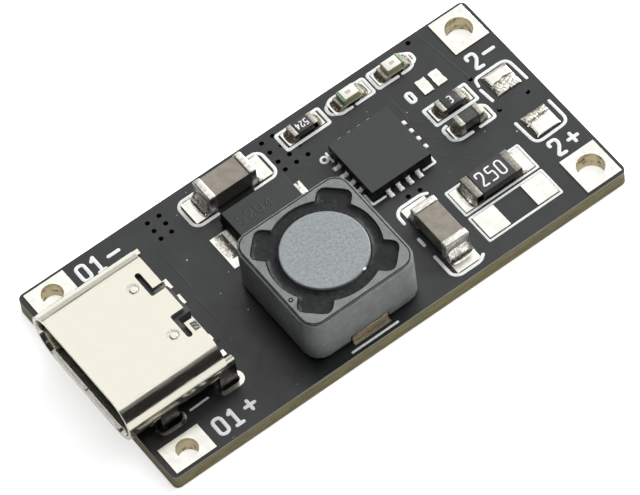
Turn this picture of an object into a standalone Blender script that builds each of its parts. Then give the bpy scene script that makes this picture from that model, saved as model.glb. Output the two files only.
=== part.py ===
"""Lithium battery charger module: a small circuit board with a USB-C inlet, a shielded
power inductor, a charging chip and the chip parts round it.

Metres, +Z up. The origin is the centre of the board's underside. +X points to the
battery end, +Y to the long edge that carries the minus pads, and Z = 0 is the underside.
"""
import math

import bmesh
import bpy
from mathutils import Matrix, Vector

# Board
BOARD_LENGTH = 0.0300
BOARD_WIDTH = 0.0145
BOARD_THICKNESS = 0.0011
BOARD_CORNER_RADIUS = 0.00035
LAND_HEIGHT = 0.00004
SOLDER_FILM = 0.00003
VIA_DIAMETER = 0.00030

# Plated wire pads at the four corners
PLATING = 0.00006
IN_PAD_LENGTH = 0.00258
IN_PAD_WIDTH = 0.00179
IN_PAD_END_INSET = 0.00160
IN_PAD_SIDE_INSET = 0.00108
IN_HOLE_DIAMETER = 0.00127
BATTERY_PAD_LENGTH = 0.00230
BATTERY_PAD_WIDTH = 0.00254
BATTERY_PAD_END_INSET = 0.00136
BATTERY_PAD_SIDE_INSET = 0.00143
BATTERY_HOLE_DIAMETER = 0.00160

# Bare lands that carry no part
SPARE_LAND_LENGTH = 0.00140
SPARE_LAND_WIDTH = 0.00160
SPARE_LAND_OFFSET = 0.00162
JUMPER_LAND_LENGTH = 0.00063
JUMPER_LAND_WIDTH = 0.00102
JUMPER_LAND_GAP = 0.00027
TINNED_LAND_LENGTH = 0.00160
TINNED_LAND_WIDTH = 0.00156
TINNED_LAND_OFFSET = 0.00173
TINNED_LAND_HEIGHT = 0.00016

# USB-C inlet
USB_OVERHANG = 0.00060
USB_LENGTH = 0.00630
USB_WIDTH = 0.00894
USB_HEIGHT = 0.00316
USB_WALL = 0.00030
USB_MOUTH_FLARE = 0.00008
USB_MOUTH_FLARE_DEPTH = 0.00030
USB_BLOCK_LENGTH = 0.00125
USB_TONGUE_WIDTH = 0.00669
USB_TONGUE_THICKNESS = 0.00070
USB_TONGUE_SETBACK = 0.00060
USB_LEG_WIDTH = 0.00110
USB_LEG_LENGTH_BELOW = 0.00070
USB_LEG_TUCK = 0.00002
USB_LEG_RISE = 20.0
USB_FRONT_LEG_SETBACK = 0.00245
USB_REAR_LEG_SETBACK = 0.00625
USB_WINDOW_WIDTH = 0.00190
USB_WINDOW_HEIGHT = 0.00125
LEG_SLOT_CLEARANCE = 0.00012
LEG_LAND_MARGIN = 0.00026
USB_SLOT_WIDTH = 0.00034
USB_SLOT_SETBACK = 0.00093
USB_SLOT_OUTER = 0.00250
USB_SLOT_CORNER_RADIUS = 0.00012
USB_SLOT_INNER = 0.00080
USB_NEAR_MOUTH = 0.00080
USB_FAR_MOUTH = 0.00040
USB_TAB_SHORTER = 0.00005
USB_DIMPLE_DIAMETER = 0.00072
USB_DIMPLE_DEPTH = 0.00013
USB_DIMPLE_SPACING = 0.00364
USB_DIMPLE_SETBACK = 0.00143
CONTACT_THICKNESS = 0.00012
CONTACT_WIDTH = 0.00042
CONTACT_FOOT_LENGTH = 0.00090
CONTACT_INNER_FOOT_LENGTH = 0.00060
CONTACT_SPACINGS = (0.00100, 0.00300, 0.00544)
CONTACT_CLEARANCE = 0.00003
MID_PLATE_THICKNESS = 0.00015
MID_PLATE_STEP = 0.00010
PEG_DIAMETER = 0.00050
PEG_LENGTH = 0.00070
PEG_SPACING = 0.00560
HOUSING_LIP_REACH = 0.00022
HOUSING_LIP_WIDTH = 0.00200
HOUSING_POCKET_WIDTH = 0.00070
HOUSING_POCKET_DEPTH = 0.00062

# Shielded power inductor
INDUCTOR_X = -0.00161
INDUCTOR_Y = -0.00286
INDUCTOR_WIDTH = 0.00724
INDUCTOR_HEIGHT = 0.00340
INDUCTOR_CORNER_RADIUS = 0.00100
INDUCTOR_LIFT = 0.00016
RIM_STEP = 0.00012
SHIELD_WALL = 0.00045
POCKET_BITE = 0.00075
POCKET_WIDTH = 0.00196
POCKET_DEPTH = 0.00080
POCKET_CORNER_RADIUS = 0.00046
GLUE_GAP = 0.00073
DRUM_FOOT_GAP = 0.00027
WINDING_DEPTH = 0.00100
DRUM_FLANGE = 0.00075
DRUM_PROUD = 0.00006
WINDING_SETBACK = 0.00014
WINDING_TURNS = 5
GLUE_THICKNESS = 0.00045
GLUE_SUNK = 0.00009
BASE_THICKNESS = 0.00032
TERMINAL_WIDTH = 0.00238
TERMINAL_THICKNESS = 0.00012
TERMINAL_LIP = 0.00046
TERMINAL_FOOT = 0.00150
NOTCH_CLEARANCE = 0.00008

# Protection diode, behind the inductor
DIODE_X = -0.00173
DIODE_GAP = 0.00060
DIODE_OFF_LANDS = (0.00020, 0.00030)
DIODE_LENGTH = 0.00430
DIODE_WIDTH = 0.00260
DIODE_HEIGHT = 0.00110
DIODE_DRAFT = 0.00010
DIODE_PARTING = 0.35
DIODE_LEAD_WIDTH = 0.00150
DIODE_LEAD_REACH = 0.00036
DIODE_LEAD_THICKNESS = 0.00020
DIODE_LEAD_TUCK = 0.00060
DIODE_LAND_SPAN = 0.00598
DIODE_LAND_LENGTH = 0.00160
DIODE_LAND_WIDTH = 0.00232

# Charging chip
CHIP_X = 0.00531
CHIP_Y = 0.00186
CHIP_WIDTH = 0.00396
CHIP_HEIGHT = 0.00078
CHIP_LEAD_PITCH = 0.00065
CHIP_LEAD_WIDTH = 0.00030
CHIP_LEAD_HEIGHT = 0.00020
CHIP_LEAD_PROUD = 0.00003
CHIP_LAND_REACH = 0.00042
CHIP_PAD_WIDTH = 0.00250
CHIP_PAD_THICKNESS = 0.00020

# Large chip capacitors
CAP_LENGTH = 0.00320
CAP_WIDTH = 0.00156
CAP_HEIGHT = 0.00130
CAP_END = 0.00052
CAP_SKIN = 0.00005
CAP_LAND_REACH = 0.00094
CAP_LAND_LENGTH = 0.00150

# Small chip capacitor
SMALL_CAP_LENGTH = 0.00160
SMALL_CAP_WIDTH = 0.00080
SMALL_CAP_HEIGHT = 0.00078
SMALL_CAP_END = 0.00034
SMALL_CAP_SKIN = 0.00004

# Current sense resistor
SENSE_LENGTH = 0.00310
SENSE_WIDTH = 0.00154
SENSE_HEIGHT = 0.00058
SENSE_END = 0.00046
SENSE_SKIN = 0.00005
SENSE_COAT_STEP = 0.00003

# Small chip resistors
RESISTOR_LENGTH = 0.00160
RESISTOR_WIDTH = 0.00082
RESISTOR_HEIGHT = 0.00045
RESISTOR_END = 0.00030
RESISTOR_SKIN = 0.00004
RESISTOR_COAT_STEP = 0.00002

# Indicator lights
LIGHT_LENGTH = 0.00160
LIGHT_WIDTH = 0.00082
LIGHT_BASE_HEIGHT = 0.00026
LIGHT_LENS_LENGTH = 0.00112
LIGHT_LENS_HEIGHT = 0.00034
LIGHT_LENS_TAPER = 0.00006
LIGHT_END = 0.00030
LIGHT_SKIN = 0.00004

# Lands under the small parts
SMALL_LAND_LENGTH = 0.00080
SMALL_LAND_WIDTH = 0.00092
SMALL_LAND_REACH = 0.00040

# Places of the parts, from the board's ends and long edges
INPUT_CAP_FROM_CENTRE = (-0.00227, 0.00558)
OUTPUT_CAP_FROM_CENTRE = (0.00486, -0.00410)
SENSE_FROM_END = (0.00595, -0.00310)
SPARE_FROM_END = (0.00595, -0.00519)
CODE_RESISTOR_FROM_END = (0.00469, 0.00218)
SMALL_CAP_FROM_END = (0.00465, 0.00060)
JUMPER_FROM_END = 0.00461
JUMPER_BELOW_MIDDLE = 0.00007
TINNED_FROM_END = (0.00160, -0.00005)
LIGHT_ROW_FROM_EDGE = 0.00118
LIGHT_ROW_X = (0.00319, 0.00632, 0.00929)
VIA_PLACES = (
    (-0.00685, 0.00657), (-0.00608, 0.00657), (-0.00685, 0.00594), (-0.00608, 0.00594),
    (-0.00685, 0.00531), (-0.00614, 0.00531), (0.00092, 0.00677), (0.00168, 0.00677),
    (0.00092, 0.00600), (0.00168, 0.00600), (0.00092, 0.00524), (0.00168, 0.00524),
    (0.00092, 0.00459), (0.00168, 0.00459), (0.00245, 0.00524), (0.00245, 0.00459),
    (0.00572, -0.00113), (0.00497, -0.00106), (0.01099, 0.00690), (0.01214, 0.00282),
    (0.01214, 0.00022), (0.01403, 0.00017),
)

# Mesh fineness
ROUND_STEPS = 32
HOLE_STEPS = 20
VIA_STEPS = 8
CORNER_STEPS = 4
LEG_STEPS = 2
CUT_MARGIN = 0.0002
HAIR = 1e-6
SMOOTH_ANGLE = 32

BOARD_TOP = BOARD_THICKNESS
LAND_TOP = BOARD_TOP + LAND_HEIGHT
SEAT = LAND_TOP + SOLDER_FILM
HALF_LENGTH = BOARD_LENGTH / 2
HALF_WIDTH = BOARD_WIDTH / 2
BORE_RADIUS = INDUCTOR_WIDTH / 2 - SHIELD_WALL
DRUM_RADIUS = BORE_RADIUS - GLUE_GAP


def clear_scene():
    for obj in list(bpy.data.objects):
        bpy.data.objects.remove(obj, do_unlink=True)


def make_material(name, colour, roughness, metallic=0.0):
    material = bpy.data.materials.new(name)
    material.use_nodes = True
    shader = material.node_tree.nodes["Principled BSDF"]
    shader.inputs["Base Color"].default_value = (*colour, 1.0)
    shader.inputs["Roughness"].default_value = roughness
    shader.inputs["Metallic"].default_value = metallic
    material.diffuse_color = (*colour, 1.0)
    return material


MATERIAL_LOOKS = {
    "solder_mask": ((0.062, 0.068, 0.068), 0.55, 0.0),
    "tinned_copper": ((0.86, 0.84, 0.76), 0.30, 1.0),
    "nickel_shell": ((0.84, 0.82, 0.76), 0.22, 1.0),
    "black_moulding": ((0.020, 0.021, 0.022), 0.50, 0.0),
    "gilt_contact": ((0.83, 0.66, 0.32), 0.25, 1.0),
    "ferrite": ((0.270, 0.290, 0.300), 0.60, 0.0),
    "ferrite_drum": ((0.360, 0.390, 0.400), 0.65, 0.0),
    "enamelled_wire": ((0.55, 0.22, 0.08), 0.35, 0.8),
    "dark_glue": ((0.025, 0.028, 0.028), 0.35, 0.0),
    "base_plate": ((0.16, 0.12, 0.07), 0.70, 0.0),
    "diode_moulding": ((0.065, 0.070, 0.071), 0.60, 0.0),
    "chip_moulding": ((0.070, 0.076, 0.080), 0.50, 0.0),
    "ceramic": ((0.33, 0.28, 0.23), 0.45, 0.0),
    "tin_cap": ((0.72, 0.72, 0.70), 0.42, 1.0),
    "resistor_coat": ((0.022, 0.022, 0.024), 0.40, 0.0),
    "light_base": ((0.78, 0.74, 0.55), 0.50, 0.0),
    "light_lens": ((0.85, 0.88, 0.72), 0.15, 0.0),
}


def group(name, place, parent=None):
    """An empty that carries the pieces of one assembly."""
    empty = bpy.data.objects.new(name, None)
    bpy.context.scene.collection.objects.link(empty)
    empty.parent = parent
    empty.location = place
    return empty


def finish(name, bm, material, carrier, place=(0.0, 0.0, 0.0), smooth=False):
    """Turns a bmesh into a named object on its carrier."""
    bmesh.ops.recalc_face_normals(bm, faces=bm.faces)
    mesh = bpy.data.meshes.new(name)
    bm.to_mesh(mesh)
    bm.free()
    mesh.materials.append(material)
    if smooth:
        mesh.shade_smooth()
        mesh.set_sharp_from_angle(angle=math.radians(SMOOTH_ANGLE))
    obj = bpy.data.objects.new(name, mesh)
    bpy.context.scene.collection.objects.link(obj)
    obj.parent = carrier
    obj.location = place
    return obj


def as_cutter(obj):
    obj.hide_render = True
    obj.display_type = "WIRE"
    return obj


def combine(obj, other, operation, shapes_overlap=False):
    modifier = obj.modifiers.new(other.name, "BOOLEAN")
    modifier.operation = operation
    modifier.solver = "EXACT"
    modifier.use_self = shapes_overlap
    modifier.object = as_cutter(other)


def round_edges(obj, width, segments=1, angle=50):
    modifier = obj.modifiers.new("round_edges", "BEVEL")
    modifier.width = width
    modifier.segments = segments
    modifier.limit_method = "ANGLE"
    modifier.angle_limit = math.radians(angle)
    modifier.use_clamp_overlap = True


def add_box(bm, low, high):
    """A box between two corners."""
    low = Vector(low)
    high = Vector(high)
    size = high - low
    matrix = Matrix.Translation((low + high) / 2) @ Matrix.Diagonal((*size, 1.0))
    return bmesh.ops.create_cube(bm, size=1.0, matrix=matrix)["verts"]


def box_object(name, low, high, material, carrier):
    bm = bmesh.new()
    add_box(bm, low, high)
    return finish(name, bm, material, carrier)


def add_prism(bm, outline, low, high):
    """A flat outline in X and Y, drawn up from one height to another."""
    ring = [bm.verts.new((x, y, low)) for x, y in outline]
    face = bm.faces.new(ring)
    drawn = bmesh.ops.extrude_face_region(bm, geom=[face])["geom"]
    moved = [item for item in drawn if isinstance(item, bmesh.types.BMVert)]
    bmesh.ops.translate(bm, verts=moved, vec=(0.0, 0.0, high - low))


def arc(centre, radius, start, end, steps):
    """Points of an arc, in degrees, both ends included."""
    angles = [math.radians(start + (end - start) * i / steps) for i in range(steps + 1)]
    return [(centre[0] + radius * math.cos(a), centre[1] + radius * math.sin(a)) for a in angles]


def circle(radius, steps, centre=(0.0, 0.0)):
    return arc(centre, radius, 0, 360, steps)[:-1]


def rounded_rectangle(length, width, radius, centre=(0.0, 0.0), steps=CORNER_STEPS):
    across = length / 2 - radius
    along = width / 2 - radius
    corners = ((across, along, 0), (-across, along, 90), (-across, -along, 180), (across, -along, 270))
    outline = []
    for x, y, start in corners:
        outline += arc((centre[0] + x, centre[1] + y), radius, start, start + 90, steps)
    return outline


def stadium(width, height, steps=ROUND_STEPS):
    """A slot outline in Y and Z: flat top and bottom, half-round ends, from z = 0 up."""
    radius = height / 2
    reach = width / 2 - radius
    return arc((reach, radius), radius, -90, 90, steps // 2) + arc((-reach, radius), radius, 90, 270, steps // 2)


def add_ring_stack(bm, stations, closed):
    """Joins outlines (x, points in Y and Z) into a skin along X."""
    rings = [[bm.verts.new((x, y, z)) for y, z in points] for x, points in stations]
    pairs = list(zip(rings, rings[1:]))
    if closed:
        pairs.append((rings[-1], rings[0]))
    for first, second in pairs:
        count = len(first)
        for i in range(count):
            after = (i + 1) % count
            bm.faces.new((first[i], first[after], second[after], second[i]))
    if not closed:
        bm.faces.new(rings[0])
        bm.faces.new(rings[-1])


def add_turned(bm, profile, steps=ROUND_STEPS):
    """Turns a profile of (radius, height) round the Z axis, closed at the axis."""
    verts = [bm.verts.new((radius, 0.0, height)) for radius, height in profile]
    edges = [bm.edges.new(pair) for pair in zip(verts, verts[1:])]
    if profile[0][0] > 0:
        edges.append(bm.edges.new((verts[-1], verts[0])))
    bmesh.ops.spin(
        bm, geom=verts + edges, cent=(0, 0, 0), axis=(0, 0, 1),
        angle=math.tau, steps=steps, use_merge=True, use_duplicate=False,
    )
    bmesh.ops.remove_doubles(bm, verts=bm.verts, dist=HAIR / 10)


def both_sides(value):
    return (value, -value)


def from_end(place):
    """A place given from the battery end, as board coordinates."""
    return (HALF_LENGTH - place[0], place[1])


def leg_places():
    """Where the inlet's four legs pass into the board, as the centre of each slot."""
    front = -HALF_LENGTH - USB_OVERHANG
    side = USB_WIDTH / 2 - USB_WALL / 2
    setbacks = (USB_FRONT_LEG_SETBACK, USB_REAR_LEG_SETBACK)
    return [(front + setback, y) for setback in setbacks for y in both_sides(side)]


def contact_sides():
    return [y for spacing in CONTACT_SPACINGS for y in both_sides(spacing / 2)]


def usb_rear():
    return -HALF_LENGTH - USB_OVERHANG + USB_LENGTH


def diode_y():
    return INDUCTOR_Y + INDUCTOR_WIDTH / 2 + DIODE_GAP + DIODE_WIDTH / 2


def light_row_y():
    return HALF_WIDTH - LIGHT_ROW_FROM_EDGE


def jumper_y():
    """The jumper lies between the row of lights and the small resistor."""
    return (light_row_y() + CODE_RESISTOR_FROM_END[1]) / 2 - JUMPER_BELOW_MIDDLE


def wire_pads():
    """Name, centre, size and hole diameter of the four corner pads."""
    in_x = -HALF_LENGTH + IN_PAD_END_INSET
    in_y = HALF_WIDTH - IN_PAD_SIDE_INSET
    battery_x = HALF_LENGTH - BATTERY_PAD_END_INSET
    battery_y = HALF_WIDTH - BATTERY_PAD_SIDE_INSET
    in_size = (IN_PAD_LENGTH, IN_PAD_WIDTH)
    battery_size = (BATTERY_PAD_LENGTH, BATTERY_PAD_WIDTH)
    return (
        ("pad_in_plus", (in_x, -in_y), in_size, IN_HOLE_DIAMETER),
        ("pad_in_minus", (in_x, in_y), in_size, IN_HOLE_DIAMETER),
        ("pad_battery_plus", (battery_x, -battery_y), battery_size, BATTERY_HOLE_DIAMETER),
        ("pad_battery_minus", (battery_x, battery_y), battery_size, BATTERY_HOLE_DIAMETER),
    )


def pair_lands(place, reach, length, width, turned=False):
    """Two lands under a part: reach is how far their outer ends lie from its centre."""
    lands = []
    for side in (1, -1):
        offset = side * (reach - length / 2)
        x, y = (place[0], place[1] + offset) if turned else (place[0] + offset, place[1])
        size = (width, length) if turned else (length, width)
        lands.append((x, y, *size))
    return lands


def part_lands():
    """Every land that the board itself carries, as centre and size."""
    cap_reach = CAP_LENGTH / 2 + CAP_LAND_REACH
    sense_reach = SPARE_LAND_OFFSET + SPARE_LAND_LENGTH / 2
    small_reach = RESISTOR_LENGTH / 2 + SMALL_LAND_REACH
    lands = pair_lands(INPUT_CAP_FROM_CENTRE, cap_reach, CAP_LAND_LENGTH, CAP_WIDTH)
    lands += pair_lands(OUTPUT_CAP_FROM_CENTRE, cap_reach, CAP_LAND_LENGTH, CAP_WIDTH, True)
    lands += pair_lands(from_end(SENSE_FROM_END), sense_reach, SPARE_LAND_LENGTH, SPARE_LAND_WIDTH)
    for place in (from_end(CODE_RESISTOR_FROM_END), from_end(SMALL_CAP_FROM_END)):
        lands += pair_lands(place, small_reach, SMALL_LAND_LENGTH, SMALL_LAND_WIDTH)
    for x in LIGHT_ROW_X:
        lands += pair_lands((x, light_row_y()), small_reach, SMALL_LAND_LENGTH, SMALL_LAND_WIDTH)
    diode = (DIODE_X - DIODE_OFF_LANDS[0], diode_y() - DIODE_OFF_LANDS[1])
    lands += pair_lands(diode, DIODE_LAND_SPAN / 2, DIODE_LAND_LENGTH, DIODE_LAND_WIDTH)
    terminal_reach = INDUCTOR_WIDTH / 2 + LEG_LAND_MARGIN
    terminal_land = TERMINAL_FOOT + LEG_LAND_MARGIN
    lands += pair_lands((INDUCTOR_X, INDUCTOR_Y), terminal_reach, terminal_land, TERMINAL_WIDTH, True)
    lands += chip_lands()
    lands += [contact_land(y) for y in contact_sides()]
    return lands


def chip_lead_offsets():
    return [(i - 1.5) * CHIP_LEAD_PITCH for i in range(4)]


def chip_lands():
    lands = [(CHIP_X, CHIP_Y, CHIP_PAD_WIDTH, CHIP_PAD_WIDTH)]
    length = CHIP_LAND_REACH * 2
    for offset in chip_lead_offsets():
        for side in both_sides(CHIP_WIDTH / 2):
            lands.append((CHIP_X + side, CHIP_Y + offset, length, CHIP_LEAD_WIDTH))
            lands.append((CHIP_X + offset, CHIP_Y + side, CHIP_LEAD_WIDTH, length))
    return lands


def foot_length(y):
    """The two contacts in the middle have shorter feet."""
    return CONTACT_INNER_FOOT_LENGTH if abs(y) < CONTACT_SPACINGS[0] else CONTACT_FOOT_LENGTH


def contact_land(y):
    length = foot_length(y) + LEG_LAND_MARGIN
    return (usb_rear() + length / 2, y, length, CONTACT_WIDTH + LEG_LAND_MARGIN)


def leg_slot(grow):
    """Length and width of a leg's slot, larger than the leg by a clearance."""
    return (USB_LEG_WIDTH + 2 * grow, USB_WALL + 2 * grow)


def make_board(materials, carrier):
    bm = bmesh.new()
    add_prism(bm, rounded_rectangle(BOARD_LENGTH, BOARD_WIDTH, BOARD_CORNER_RADIUS), 0.0, BOARD_TOP)
    board = finish("board", bm, materials["solder_mask"], carrier)

    bm = bmesh.new()
    for x, y, length, width in part_lands():
        low = (x - length / 2, y - width / 2, BOARD_TOP - LAND_HEIGHT)
        add_box(bm, low, (x + length / 2, y + width / 2, LAND_TOP))
    slot_length, slot_width = leg_slot(LEG_SLOT_CLEARANCE + LEG_LAND_MARGIN)
    for place in leg_places():
        ring = rounded_rectangle(slot_length, slot_width, slot_width / 2 - HAIR, place)
        add_prism(bm, ring, BOARD_TOP - LAND_HEIGHT, LAND_TOP)
    combine(board, finish("board_lands", bm, materials["tinned_copper"], carrier), "UNION", True)

    bm = bmesh.new()
    for _, centre, size, _ in wire_pads():
        grown = [side + 2 * SOLDER_FILM for side in size]
        low = (centre[0] - grown[0] / 2, centre[1] - grown[1] / 2, -CUT_MARGIN)
        add_box(bm, low, (centre[0] + grown[0] / 2, centre[1] + grown[1] / 2, PLATING + SOLDER_FILM))
    combine(board, finish("underside_pockets", bm, materials["solder_mask"], carrier), "DIFFERENCE")

    bm = bmesh.new()
    below = -CUT_MARGIN
    above = LAND_TOP + CUT_MARGIN
    for _, centre, _, hole in wire_pads():
        barrel = hole / 2 + PLATING + SOLDER_FILM
        add_prism(bm, circle(barrel, HOLE_STEPS, centre), below, above)
    slot_length, slot_width = leg_slot(LEG_SLOT_CLEARANCE)
    for place in leg_places():
        slot = rounded_rectangle(slot_length, slot_width, slot_width / 2 - HAIR, place)
        add_prism(bm, slot, below, above)
    for centre in peg_places():
        add_prism(bm, circle(PEG_DIAMETER / 2 + SOLDER_FILM, HOLE_STEPS // 2, centre), below, above)
    for centre in VIA_PLACES:
        add_prism(bm, circle(VIA_DIAMETER / 2, VIA_STEPS, centre), below, above)
    combine(board, finish("board_drills", bm, materials["solder_mask"], carrier), "DIFFERENCE", True)
    return board


def peg_places():
    return [(usb_rear() - USB_BLOCK_LENGTH / 2, y) for y in both_sides(PEG_SPACING / 2)]


def make_wire_pads(materials, carrier):
    """Each pad is one plated piece: a land on both faces, joined by the lining of its hole."""
    for name, centre, size, hole in wire_pads():
        bm = bmesh.new()
        barrel = hole / 2 + PLATING
        add_prism(bm, circle(barrel, HOLE_STEPS), 0.0, BOARD_TOP + SOLDER_FILM + LAND_HEIGHT / 2)
        pad = finish(name, bm, materials["tinned_copper"], carrier, (*centre, 0.0), smooth=True)
        bm = bmesh.new()
        half = (size[0] / 2, size[1] / 2)
        add_box(bm, (-half[0], -half[1], 0.0), (half[0], half[1], PLATING))
        top = BOARD_TOP + SOLDER_FILM
        add_box(bm, (-half[0], -half[1], top), (half[0], half[1], top + LAND_HEIGHT))
        combine(pad, finish(name + "_plates", bm, pad.active_material, carrier, (*centre, 0.0)), "UNION")
        bm = bmesh.new()
        add_prism(bm, circle(hole / 2, HOLE_STEPS), -CUT_MARGIN, BOARD_TOP + CUT_MARGIN)
        combine(pad, finish(name + "_hole", bm, pad.active_material, carrier, (*centre, 0.0)), "DIFFERENCE")


def make_bare_lands(materials, carrier):
    """Lands that show bare: the spare place, the jumper and the two tinned ones."""
    tin = materials["tinned_copper"]
    low = BOARD_TOP + SOLDER_FILM
    spare = from_end(SPARE_FROM_END)
    jumper = from_end((JUMPER_FROM_END, jumper_y()))
    tinned = from_end(TINNED_FROM_END)
    jumper_offset = (JUMPER_LAND_LENGTH + JUMPER_LAND_GAP) / 2
    lands = (
        ("spare_land_left", (spare[0] - SPARE_LAND_OFFSET, spare[1]), SPARE_LAND_LENGTH, SPARE_LAND_WIDTH),
        ("spare_land_right", (spare[0] + SPARE_LAND_OFFSET, spare[1]), SPARE_LAND_LENGTH, SPARE_LAND_WIDTH),
        ("jumper_land_left", (jumper[0] - jumper_offset, jumper[1]), JUMPER_LAND_LENGTH, JUMPER_LAND_WIDTH),
        ("jumper_land_right", (jumper[0] + jumper_offset, jumper[1]), JUMPER_LAND_LENGTH, JUMPER_LAND_WIDTH),
    )
    for name, centre, length, width in lands:
        bm = bmesh.new()
        add_box(bm, (-length / 2, -width / 2, 0.0), (length / 2, width / 2, LAND_HEIGHT))
        finish(name, bm, tin, carrier, (*centre, low))
    for name, side in (("tinned_land_minus", 1), ("tinned_land_plus", -1)):
        bm = bmesh.new()
        half = (TINNED_LAND_LENGTH / 2, TINNED_LAND_WIDTH / 2)
        add_box(bm, (-half[0], -half[1], 0.0), (half[0], half[1], TINNED_LAND_HEIGHT))
        place = (tinned[0], tinned[1] + side * TINNED_LAND_OFFSET, low)
        land = finish(name, bm, tin, carrier, place, smooth=True)
        round_edges(land, TINNED_LAND_HEIGHT * 0.6, 2)


def leg_outline(side):
    """A leg's end view in Y and Z: it follows the shell's round side, then hangs straight down."""
    radius = USB_HEIGHT / 2
    centre = (USB_WIDTH / 2 - radius, radius)
    outer = arc(centre, radius - USB_LEG_TUCK, USB_LEG_RISE, 0, LEG_STEPS)
    inner = arc(centre, radius - USB_LEG_TUCK - USB_WALL, 0, USB_LEG_RISE, LEG_STEPS)
    reach = USB_WIDTH / 2 - USB_LEG_TUCK
    foot = [(reach, -USB_LEG_LENGTH_BELOW), (reach - USB_WALL, -USB_LEG_LENGTH_BELOW)]
    return [(side * y, z) for y, z in outer + foot + inner]


def slot_outline(side, mouth):
    """An L slot in X and Y: a round-ended arm across the shell, and a mouth out of its rear edge."""
    front = USB_LENGTH - USB_SLOT_SETBACK
    back = front + USB_SLOT_WIDTH
    way_out = USB_LENGTH + CUT_MARGIN
    radius = USB_SLOT_CORNER_RADIUS
    half = USB_SLOT_WIDTH / 2
    outline = [(way_out, USB_SLOT_INNER)]
    outline += arc((front + radius, USB_SLOT_INNER + radius), radius, 270, 180, CORNER_STEPS)
    outline += arc((front + half, USB_SLOT_OUTER - half), half, 180, 0, 2 * CORNER_STEPS)
    outline += [(back, USB_SLOT_INNER + mouth), (way_out, USB_SLOT_INNER + mouth)]
    return [(x, side * y) for x, y in outline]


def make_usb_shell(materials, carrier):
    """The formed sheet shell: a slot-shaped tube with legs, two L slots and two dimples."""
    metal = materials["nickel_shell"]
    outer = stadium(USB_WIDTH, USB_HEIGHT)
    inner = [(y, z + USB_WALL) for y, z in stadium(USB_WIDTH - 2 * USB_WALL, USB_HEIGHT - 2 * USB_WALL)]
    flare = USB_WALL - USB_MOUTH_FLARE
    mouth = [(y, z + flare) for y, z in stadium(USB_WIDTH - 2 * flare, USB_HEIGHT - 2 * flare)]
    bm = bmesh.new()
    stations = (
        (0.0, outer), (USB_LENGTH, outer), (USB_LENGTH, inner),
        (USB_MOUTH_FLARE_DEPTH, inner), (0.0, mouth),
    )
    add_ring_stack(bm, stations, closed=True)
    shell = finish("usb_shell", bm, metal, carrier, smooth=True)

    setbacks = (USB_FRONT_LEG_SETBACK, USB_REAR_LEG_SETBACK)
    bm = bmesh.new()
    for setback in setbacks:
        low = (setback - USB_WINDOW_WIDTH / 2, -USB_WIDTH, -CUT_MARGIN)
        add_box(bm, low, (setback + USB_WINDOW_WIDTH / 2, USB_WIDTH, USB_WINDOW_HEIGHT))
    windows = finish("shell_windows", bm, metal, carrier)
    floor_half = USB_WIDTH / 2 - USB_HEIGHT + USB_WINDOW_HEIGHT
    bm = bmesh.new()
    add_box(bm, (-CUT_MARGIN, -floor_half, -USB_HEIGHT), (USB_LENGTH + CUT_MARGIN, floor_half, USB_HEIGHT))
    combine(windows, finish("shell_floor_kept", bm, metal, carrier), "DIFFERENCE")
    combine(shell, windows, "DIFFERENCE")

    bm = bmesh.new()
    half = USB_LEG_WIDTH / 2
    for setback in setbacks:
        for side in (1, -1):
            outline = leg_outline(side)
            add_ring_stack(bm, ((setback - half, outline), (setback + half, outline)), closed=False)
    combine(shell, finish("shell_legs", bm, metal, carrier), "UNION")

    bm = bmesh.new()
    for side, mouth in ((1, USB_FAR_MOUTH), (-1, USB_NEAR_MOUTH)):
        add_prism(bm, slot_outline(side, mouth), USB_HEIGHT / 2, USB_HEIGHT + CUT_MARGIN)
    combine(shell, finish("shell_slots", bm, metal, carrier), "DIFFERENCE")
    bm = bmesh.new()
    tab = USB_SLOT_INNER + CUT_MARGIN
    low = (USB_LENGTH - USB_TAB_SHORTER, -tab, USB_HEIGHT / 2)
    add_box(bm, low, (USB_LENGTH + CUT_MARGIN, tab, USB_HEIGHT + CUT_MARGIN))
    combine(shell, finish("shell_tab_end", bm, metal, carrier), "DIFFERENCE")

    bm = bmesh.new()
    for y in both_sides(USB_DIMPLE_SPACING / 2):
        add_cone(bm, (USB_LENGTH - USB_DIMPLE_SETBACK, y, USB_HEIGHT), USB_DIMPLE_DIAMETER / 2)
    combine(shell, finish("shell_dimples", bm, metal, carrier), "DIFFERENCE")

    bm = bmesh.new()
    reach = CONTACT_SPACINGS[-1] / 2 + CONTACT_WIDTH
    low = (USB_LENGTH - USB_BLOCK_LENGTH, -reach, -CUT_MARGIN)
    add_box(bm, low, (USB_LENGTH + CUT_MARGIN, reach, USB_WALL + CUT_MARGIN))
    combine(shell, finish("shell_tail_gap", bm, metal, carrier), "DIFFERENCE")


def add_cone(bm, rim_centre, radius):
    """A shallow punched dimple's cutter, wide at the top."""
    bmesh.ops.create_cone(
        bm, cap_ends=True, segments=HOLE_STEPS, radius1=radius / 2, radius2=radius * 1.5,
        depth=2 * USB_DIMPLE_DEPTH, matrix=Matrix.Translation(rim_centre),
    )


def tongue_levels():
    """Underside and top of the tongue, from the shell's underside."""
    middle = USB_HEIGHT / 2
    return (middle - USB_TONGUE_THICKNESS / 2, middle + USB_TONGUE_THICKNESS / 2)


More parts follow.
